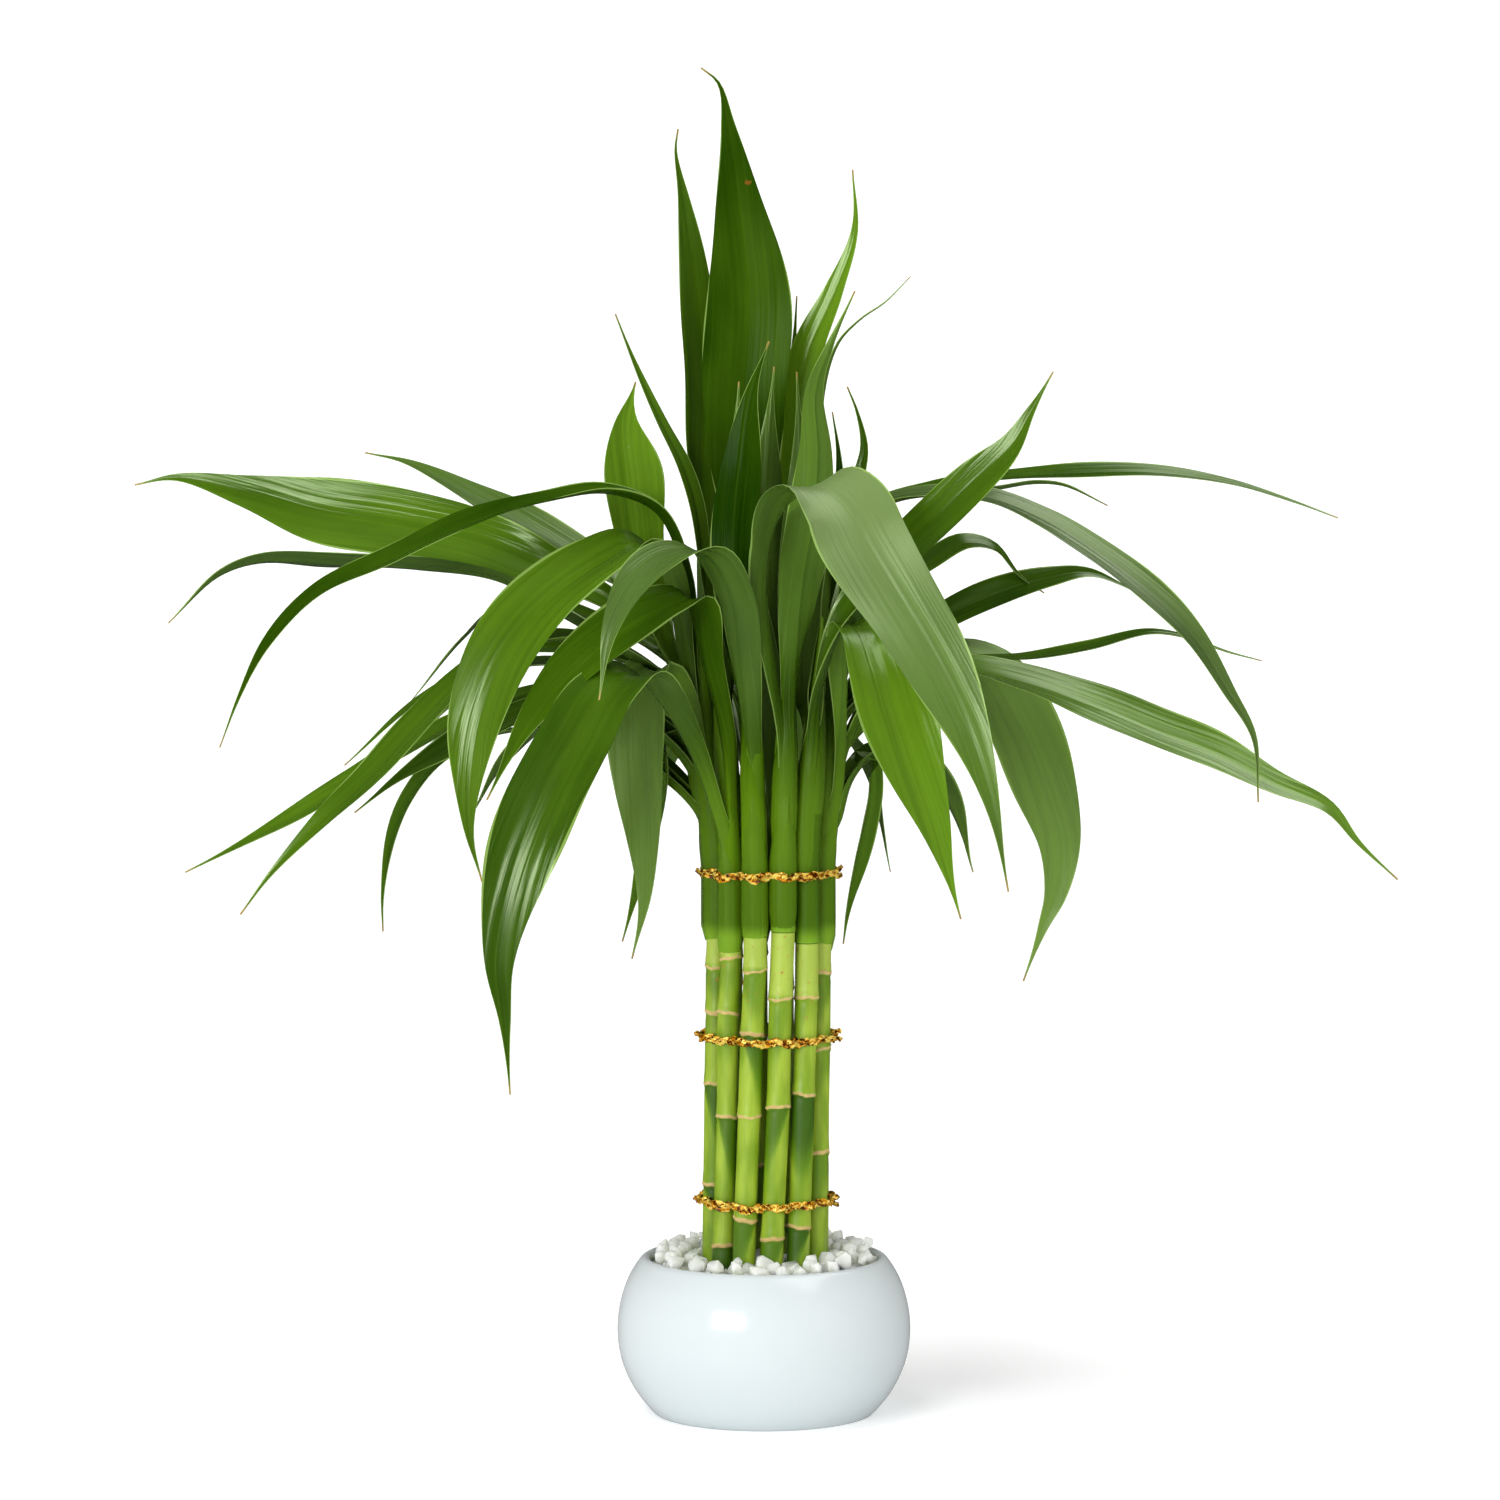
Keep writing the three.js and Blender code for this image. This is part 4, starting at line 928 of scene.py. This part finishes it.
def leaf_finish(name, shine):
    graph = Graph(name)
    across, along, pale_and_sheen = graph.attribute("place")
    tone, edge, share = graph.attribute("look")
    seed = graph.times(tone, 371.0)
    vein_at = graph.bundle(graph.times(across, 2.1), graph.times(along, 0.012), seed)
    vein = graph.noise(vein_at, 1.0, 3.0, 0.6)
    band_at = graph.bundle(graph.times(across, 0.42), graph.times(along, 0.006), seed)
    band = graph.noise(band_at, 1.0, 2.0)
    cloud_at = graph.bundle(graph.times(across, 0.05), graph.times(along, 0.016), seed)
    cloud = graph.noise(cloud_at, 1.0, 2.0)
    light = graph.maths("MULTIPLY_ADD", tone, 0.9, graph.maths("MULTIPLY_ADD", cloud, 0.5, -0.3))
    green = graph.mixed(light, (18, 44, 0), (98, 138, 24))
    green = graph.mixed(graph.spread(band, 0.35, 0.75, 0.0, 0.3), green, (22, 54, 0))
    green = graph.mixed(graph.spread(vein, 0.45, 0.8, 0.0, 0.1), green, (96, 128, 14))
    blade = graph.spread(share, 0.08, 0.34)
    # Paler grey-green where the third note of place is set: on the underside the leaf's own paler colour,
    # on top a painted sheen.
    pale = graph.times(graph.times(pale_and_sheen, blade), 0.45)
    green = graph.mixed(pale, green, (104, 123, 75))
    where = graph.node("TexCoord", output="Object")
    height = graph.node("SeparateXYZ", output="Z", i0=where)
    # The stalks' dark green is partly painted shade of the crown's inside; just above the top tie they are
    # painted lighter, as painted light where they stand outside the crown.
    stalk = graph.mixed(graph.spread(vein, 0.3, 0.8), (22, 44, 0), (54, 84, 2))
    painted_light_near_tie = graph.spread(height, 0.208, 0.232, 0.55, 0.8)
    painted_light_near_tie = graph.times(painted_light_near_tie, graph.spread(height, 0.24, 0.29, 1.0, 0.0))
    stalk = graph.mixed(painted_light_near_tie, stalk, (84, 118, 16))
    green = graph.mixed(blade, stalk, green)
    margin = graph.spread(edge, 0.1, 0.32, 0.55, 0.0)
    green = graph.mixed(margin, green, (140, 170, 86))
    fresh = graph.times(graph.spread(height, 0.193, 0.2, 0.7, 0.0), graph.spread(along, 10, 20, 1.0, 0.0))
    green = graph.mixed(fresh, green, (112, 152, 34))
    flecks = graph.noise(where, 900.0, 3.0)
    for reading, radius, strength, colour in MARKS:
        spot = (from_front(reading) * MM).tolist()
        apart = graph.node("VectorMath", "Value", {"operation": "DISTANCE"}, i0=where, i1=spot)
        ragged = graph.maths("MULTIPLY_ADD", flecks, 1.4 * radius * MM, apart)
        mark = graph.spread(ragged, radius * MM, 1.25 * radius * MM, strength, 0.0)
        green = graph.mixed(mark, green, colour)
    dried = graph.spread(share, 0.975, 0.998)
    green = graph.mixed(dried, green, (140, 118, 60))
    rough = graph.spread(vein, 0.2, 0.8, 0.14, 0.24)
    rough = graph.maths("MULTIPLY_ADD", pale_and_sheen, 0.15, rough)
    relief = graph.maths("MULTIPLY_ADD", vein, 0.45, graph.times(band, 2.8))
    normal = graph.bump(relief, 0.4, 0.0004)
    return graph.finish(Base_Color=green, Roughness=rough, Normal=normal, IOR=1.45,
                        Specular_IOR_Level=shine, Specular_Tint=(0.8, 0.95, 0.6, 1.0))


leaf_skin = leaf_finish("leaf_skin", 0.5)
dull_skin = leaf_finish("dull_leaf_skin", 0.03)
print("finishes of the blade:", leaf_skin.name, dull_skin.name)

# %% [markdown]
# Between the sheaths a little of the shoot's core shows. It has no blade and no veins: only a fine grain
# lengthwise, and a fresh rim where it comes out of the cane.

# %% The core's finish


def sheath_finish():
    graph = Graph("sheath_skin")
    around, along = graph.attribute("place")[:2]
    tone = graph.attribute("look")[0]
    grain_at = graph.bundle(graph.times(around, 1.3), graph.times(along, 0.02), tone)
    grain = graph.noise(grain_at, 1.0, 3.0)
    green = graph.mixed(graph.spread(along, 0.0, 90.0), (56, 88, 4), (70, 102, 6))
    green = graph.mixed(graph.spread(grain, 0.35, 0.75, 0.0, 0.4), green, (68, 100, 10))
    green = graph.mixed(graph.spread(along, 0.0, 8.0, 0.75, 0.0), green, (112, 152, 34))
    return graph.finish(Base_Color=green, Roughness=0.38, Normal=graph.bump(grain, 0.3, 0.0004),
                        Specular_IOR_Level=0.2, Specular_Tint=(0.8, 0.95, 0.6, 1.0))


sheath_skin = sheath_finish()
print("finish of the core:", sheath_skin.name)

# %% [markdown]
# ## The shoots
# Each shoot is a slim green core with its leaves wrapped on, the lowest leaf outermost, as they grow. It is
# one piece on the plant, so it becomes one mesh, and takes the place of the shoot's measured solid.

# %% Twelve shoots
CORE_SIDES = 24
CORE_STEPS = 60
CORE_RADIUS = 4.6
CORE_INSET = 0.05
GRAIN_APART = 7.3


def core_rings(index):
    top = CANES[index][2] + FIT_GAP
    heights = np.linspace(top, top + CORE_ROWS[-1][0], CORE_STEPS)
    height, turn = round_grid(heights, CORE_SIDES)
    radius = core_radius(index, height) - CORE_INSET
    rings = stem_point(index, heights)[:, None] + swung(radius, turn)
    place = np.stack([turn * CORE_RADIUS, height - top, 0 * turn], -1)
    return rings, place, (index * GRAIN_APART, 0, 0)


for index, cane in enumerate(CANES):
    skin = Skin()
    skin.add_rings(*core_rings(index), slot=1)
    own = [(number, row) for number, row in enumerate(LEAVES) if row[0] == cane[0]]
    own.sort(key=lambda pair: -pair[1][2])
    for rank, (number, row) in enumerate(own):
        skin.add_rings(*leaf_rings(row, number, rank), slot=2 if number in DULL else 0)
    node = f"shoot_{index + 1:02d}"
    settle(skin.make(node + "_leaves", [leaf_skin, sheath_skin, dull_skin]), "leaf", node)

# %% [markdown]
# ## The bowl
# The bowl is a turned shape: one profile swung round the upright axis. A real thrown and glazed bowl is
# never sharp, so the profile is drawn as a smooth curve through the measured one, with a soft lip.

# %% The bowl's shape
BOWL_SIDES = 160
BOWL_STEPS = 150
BOWL_OUTSIDE = [
    [43, 0.0], [46, 1.6], [50.4, 7], [54.8, 14.5], [57.8, 23],
    [59, 33], [58, 43.5], [54.8, 53.6], [50.4, 61],
]
BOWL_WALL = 4.0
BOWL_HEIGHT = 63.0
BOWL_MOUTH = 46.0
FLOOR_THICKNESS = 4.5


def bowl_profile():
    outside = [[44.4, 0.0, 0], *[[radius, height, 0] for radius, height in BOWL_OUTSIDE[1:]]]
    lip = [[48.9, BOWL_HEIGHT - 0.4, 0], [47.5, BOWL_HEIGHT, 0], [BOWL_MOUTH, BOWL_HEIGHT - 1.2, 0]]
    inside = [[radius - BOWL_WALL, height, 0] for radius, height in reversed(BOWL_OUTSIDE[2:8])]
    curve = smooth_curve([*outside, *lip, *inside, [40, FLOOR_THICKNESS, 0]])
    lengths = measured(curve)
    even = at_lengths(curve, lengths, np.linspace(0, lengths[-1], BOWL_STEPS))
    flat = [[0.05, 0.0], [20, 0.0], [42, 0.0]]
    closing = [[20, FLOOR_THICKNESS], [0.05, FLOOR_THICKNESS]]
    return [*flat, *even[:, :2].tolist(), *closing]


print("points of the bowl's profile:", len(bowl_profile()))

# %% [markdown]
# The glaze is satin: a pale blue-white with a broad soft gleam. Its colour is a little darker towards the
# foot, and it has the faint orange-peel of a sprayed glaze, so a very fine noise moves the surface. A
# little sheen keeps the outline light.

# %% The glaze


def glaze_finish():
    graph = Graph("pale_glaze")
    height = graph.attribute("place")[2]
    where = graph.node("TexCoord", output="Object")
    peel = graph.noise(where, 900.0, 2.0)
    drift = graph.noise(where, 28.0, 2.0)
    up_from_foot = graph.spread(height, 0.0, 45.0)
    colour = graph.mixed(up_from_foot, (186, 195, 197), (189, 196, 197))
    colour = graph.mixed(graph.times(drift, 0.3), colour, (182, 190, 192))
    rough = graph.spread(drift, 0.3, 0.7, 0.13, 0.18)
    return graph.finish(Base_Color=colour, Roughness=rough, Normal=graph.bump(peel, 0.06, 0.0002),
                        Specular_IOR_Level=0.25, Sheen_Weight=0.2, Sheen_Roughness=0.5)


skin = Skin()
rings = turned(bowl_profile(), BOWL_SIDES)
skin.add_rings(rings, place=rings)
settle(skin.make("bowl", [glaze_finish()], sharp=70.0), "pot", "pot")

# %% [markdown]
# ## The stones
# Crushed quartz has flat faces and blunt corners. Each chip is the hull of a few points thrown on a ball:
# that gives real facets with no modelling by hand. A small ball at each point blunts the corners.

# %% One chip of quartz
CHIP_POINTS = 12
CORNER = 0.6
GOLDEN = 1.618


def small_ball():
    """The twelve corners of an icosahedron, one millimetre from the middle."""
    corners = []
    for a in (-1, 1):
        for b in (-GOLDEN, GOLDEN):
            corners += [[0, a, b], [a, b, 0], [b, 0, a]]
    return unit(np.array(corners))


BALL = small_ball()


def chip_shape(chance, size):
    points = unit(chance.normal(size=(CHIP_POINTS, 3))) * chance.uniform(0.82, 1.0, (CHIP_POINTS, 1))
    points = points * [1.0, chance.uniform(0.7, 0.95), chance.uniform(0.6, 0.85)] * (0.5 * size - CORNER)
    return (points[:, None] + CORNER * BALL).reshape(-1, 3)


def turned_by(points, angles):
    turns = [Matrix.Rotation(angle, 3, axis) for angle, axis in zip(angles, "XYZ")]
    return points @ np.array(turns[0] @ turns[1] @ turns[2]).T


print("points of one chip:", len(chip_shape(np.random.default_rng(0), 10.0)))

# %% [markdown]
# Milky quartz lets light in and scatters it, which blurs the edges of a chip and fills the gaps between the
# chips with light.

# %% The quartz


def stone_finish():
    graph = Graph("milky_quartz")
    where = graph.node("TexCoord", output="Object")
    cloud = graph.noise(where, 190.0, 3.0)
    patch = graph.noise(where, 60.0, 1.0)
    colour = graph.mixed(cloud, (228, 232, 214), (236, 240, 224))
    colour = graph.mixed(graph.spread(patch, 0.45, 0.7, 0.0, 0.5), colour, (222, 227, 206))
    rough = graph.spread(cloud, 0.3, 0.7, 0.3, 0.5)
    normal = graph.bump(graph.noise(where, 500.0, 2.0), 0.2, 0.0004)
    return graph.finish(Base_Color=colour, Roughness=rough, Normal=normal,
                        Subsurface_Weight=1.0, Subsurface_Radius=(1.0, 1.0, 0.85), Subsurface_Scale=0.02,
                        Specular_IOR_Level=0.3)


quartz = stone_finish()
print("finish of the stones:", quartz.name)

# %% [markdown]
# The chips are dropped at random in two layers, by a rule with a fixed seed: a chip that would touch a cane
# or crowd a neighbour is left out. They are heaped a little towards the rim, most at the back. Below them a
# shallow bed closes the view.

# %% The heap and the bed
STONE_LEVEL = 57.0
STONE_SEED = 12
STONE_TRIES = 7000
STONES_REACH = 46.0
CROWDED = 0.31
LOWER_LAYER = 4.4

# The bed's outline as [radius, height], from the middle below to the middle above
BED_SIDES = 64
BED_OUTLINE = [
    [0.1, 6.0], [38, 6.0], [45, 14], [52, 30], [51.5, 44],
    [47.5, 58.5], [38, 61.0], [24, 59.0], [0.1, 58.5],
]


def heap(reach, angle):
    """How high the middle of a chip lies: level in front, heaped against the rim behind."""
    back = 0.5 + 0.5 * math.sin(angle)
    sides = abs(math.cos(angle))
    return STONE_LEVEL + 3.6 + (2.2 + 1.6 * back + 1.4 * sides) * smooth_step(reach, 18, 38)


def clear_of_canes(x, y, reach):
    spots = [stem_point(index, STONE_LEVEL + 4) for index in range(len(CANES))]
    return all(math.hypot(x - spot[0], y - spot[1]) > 4.8 + reach for spot in spots)


def make_stones(material):
    chance = np.random.default_rng(STONE_SEED)
    shape = bmesh.new()
    seeds = []
    for attempt in range(STONE_TRIES):
        layer = 0 if attempt < 0.5 * STONE_TRIES else 1
        reach = STONES_REACH * math.sqrt(chance.uniform())
        angle = chance.uniform(0, 2 * math.pi)
        size = chance.uniform(7.0, 12.5) if reach > 24 else chance.uniform(5.0, 9.0)
        x, y = reach * math.cos(angle), reach * math.sin(angle)
        if reach + 0.4 * size > BOWL_MOUTH + 0.6 * layer or not clear_of_canes(x, y, 0.32 * size):
            continue
        near = [(a, b, c) for a, b, c, other in seeds if other == layer]
        if any(math.hypot(x - a, y - b) < CROWDED * (size + c) for a, b, c in near):
            continue
        seeds.append((x, y, size, layer))
        level = heap(reach, angle) - LOWER_LAYER * (1 - layer) + chance.uniform(-0.9, 0.9)
        points = turned_by(chip_shape(chance, size), chance.uniform(-3, 3, 3)) + [x, y, level]
        made = [shape.verts.new((point * MM).tolist()) for point in points]
        bmesh.ops.convex_hull(shape, input=made)
    loose = [vertex for vertex in shape.verts if not vertex.link_faces]
    bmesh.ops.delete(shape, geom=loose, context="VERTS")
    mesh = bpy.data.meshes.new("stones")
    shape.to_mesh(mesh)
    shape.free()
    mesh.materials.append(material)
    mesh.shade_smooth()
    mesh.set_sharp_from_angle(angle=math.radians(60))
    print("stones:", len(seeds))
    return new_object("stones", mesh)


stones = make_stones(quartz)
bed = Skin()
bed.add_rings(turned(BED_OUTLINE, BED_SIDES))
settle(bed.make("stone_fill", [quartz]), "stones", "stone_bed")
settle(stones, "stones", "stone_bed")

# %% [markdown]
# ## The foil ties
# Each tie is a strip of gold foil, twisted by hand. It runs twice round the bundle, and ends in short
# splayed tails, one on the left and two on the right. It lies on every cane and dips a little between one
# and the next. The path is worked out from the ring of canes, so it stays right if they are moved.

# %% The path of a tie
# Each tie's height and seed
TIES = {"tie_bottom": (86, 5), "tie_middle": (152, 9), "tie_top": (218, 13)}
CLEAR = 5.0 + FIT_GAP + 1.0
RIBBON_STEPS = 300


def tie_radius(turn):
    each = 2 * np.pi / len(CANES)
    offset = turn - each * np.round(turn / each)
    root = np.maximum(0.0, CLEAR ** 2 - (RING_RADIUS * np.sin(offset)) ** 2)
    return np.maximum(RING_RADIUS * np.cos(offset) + np.sqrt(root), RING_RADIUS + 2.6)


def tie_path(height, turn):
    shift = RING_SHIFT * min(1.0, height / RING_TOP)
    first = math.radians(RING_START) - RING_TURN * max(0.0, RING_TOP - height) / RING_TOP
    radius = tie_radius(turn)
    across, back = shift + radius * np.sin(first + turn), -radius * np.cos(first + turn)
    return np.stack([across, back, height + 0 * turn], -1)


loop = tie_path(TIES["tie_middle"][0], np.linspace(0, 2 * np.pi, RIBBON_STEPS))
print("once round the bundle in mm:", round(measured(loop)[-1]))

# %% [markdown]
# The strip turns about its own line as it goes, so it shows now its face and now its edge. It is folded at
# random at every step and left with flat facets, which catch the light in sparks as foil does. A second,
# narrower strand runs with it, because the real foil was wound on twice.

# %% Foil ribbons
RIBBON_HALF = 1.9
RIBBON_THICK = 0.09
TAIL_STEPS = 14
TAIL_LENGTH = 6.0


def ribbon_rings(path, twist, half, chance):
    """A thin folded strip along a path; twist is its turn about the path at each step."""
    steps = len(path)
    forward = unit(np.gradient(path, axis=0))
    outward = unit(np.cross(forward, [0.0, 0.0, 1.0]))
    upward = np.cross(outward, forward)
    column = np.linspace(-1, 1, 5)
    wide = (half * chance.uniform(0.75, 1.1, steps))[:, None] * column
    fold = chance.uniform(-0.4, 0.4, (steps, 5)) + 0.45 * np.array([1, -1, 1, -1, 1])
    rise = np.cos(twist)[:, None] * wide - np.sin(twist)[:, None] * fold
    push = np.sin(twist)[:, None] * wide + np.cos(twist)[:, None] * fold
    section = np.stack([rise, np.abs(push) * 0.8 - 0.4], -1)
    run = unit(np.gradient(section, axis=1))
    skin = np.stack([-run[..., 1], run[..., 0]], -1) * RIBBON_THICK
    ring = np.concatenate([(section - skin)[:, ::-1], section + skin], axis=1)[:, ::-1]
    return path[:, None] + upward[:, None] * ring[..., :1] + outward[:, None] * ring[..., 1:]


def foil_glint_and_shade_notes(rings, chance):
    """A tone for each point, so that neighbouring facets differ: the finish paints the dark ones as painted
    shade and the bright ones as painted glints.
    """
    tone = np.repeat(chance.uniform(0, 1, (len(rings) // 3 + 1, rings.shape[1])), 3, axis=0)[: len(rings)]
    return np.stack([tone, 0 * tone, 0 * tone], -1)


def add_ties(skin, height, seed):
    chance = np.random.default_rng(seed)
    turn = np.linspace(0, 2 * np.pi, RIBBON_STEPS, endpoint=False)
    for strand, start in enumerate((0.0, 1.4)):
        path = tie_path(height + 0.5 * strand, turn)
        path[:, 2] += np.interp(turn, np.linspace(0, 6.3, 40), 0.7 * chance.uniform(-1, 1, 40))
        path[-1] = 0.5 * (path[0] + path[-2])
        twist = start + 12 * turn + 0.8 * np.sin(5 * turn + seed)
        rings = ribbon_rings(path, twist, RIBBON_HALF * (1 - 0.25 * strand), chance)
        skin.add_rings(rings, look=foil_glint_and_shade_notes(rings, chance), loop=True)
    for side, droop in ((-1, 0.1), (1, -0.25), (1, 0.35)):
        start = tie_path(height, np.array([math.radians(75 + 90 * side)]))[0]
        along = np.linspace(0, 1, TAIL_STEPS)[:, None]
        path = start + along * TAIL_LENGTH * np.array([side * 0.9, -0.35, droop])
        path[:, 2] += 0.5 * np.sin(7 * along[:, 0] + seed)
        rings = ribbon_rings(path, 4 * along[:, 0], 1.5 - 0.5 * along[:, 0], chance)
        skin.add_rings(rings, look=foil_glint_and_shade_notes(rings, chance))


def foil_finish():
    graph = Graph("gold_foil")
    tone = graph.attribute("look")[0]
    where = graph.node("TexCoord", output="Object")
    crease = graph.noise(where, 900.0, 3.0, 0.7)
    # Painted light on the foil: the dark brown is painted shade in the creases and the pale gold is painted
    # glints; the middle gold is the foil's own colour.
    mix = graph.maths("ADD", graph.times(tone, 0.6), graph.times(crease, 0.5))
    colour = graph.mixed(graph.spread(mix, 0.38, 0.55), (86, 42, 2), (230, 154, 14))
    colour = graph.mixed(graph.spread(mix, 0.54, 0.66), colour, (255, 228, 108))
    normal = graph.bump(crease, 0.6, 0.0006)
    return graph.finish(Base_Color=colour, Metallic=0.4, Roughness=0.2, Normal=normal)


foil = foil_finish()
for node, (height, seed) in TIES.items():
    skin = Skin()
    add_ties(skin, height, seed)
    settle(skin.make(node + "_foil", [foil], sharp=8.0), "foil", node)
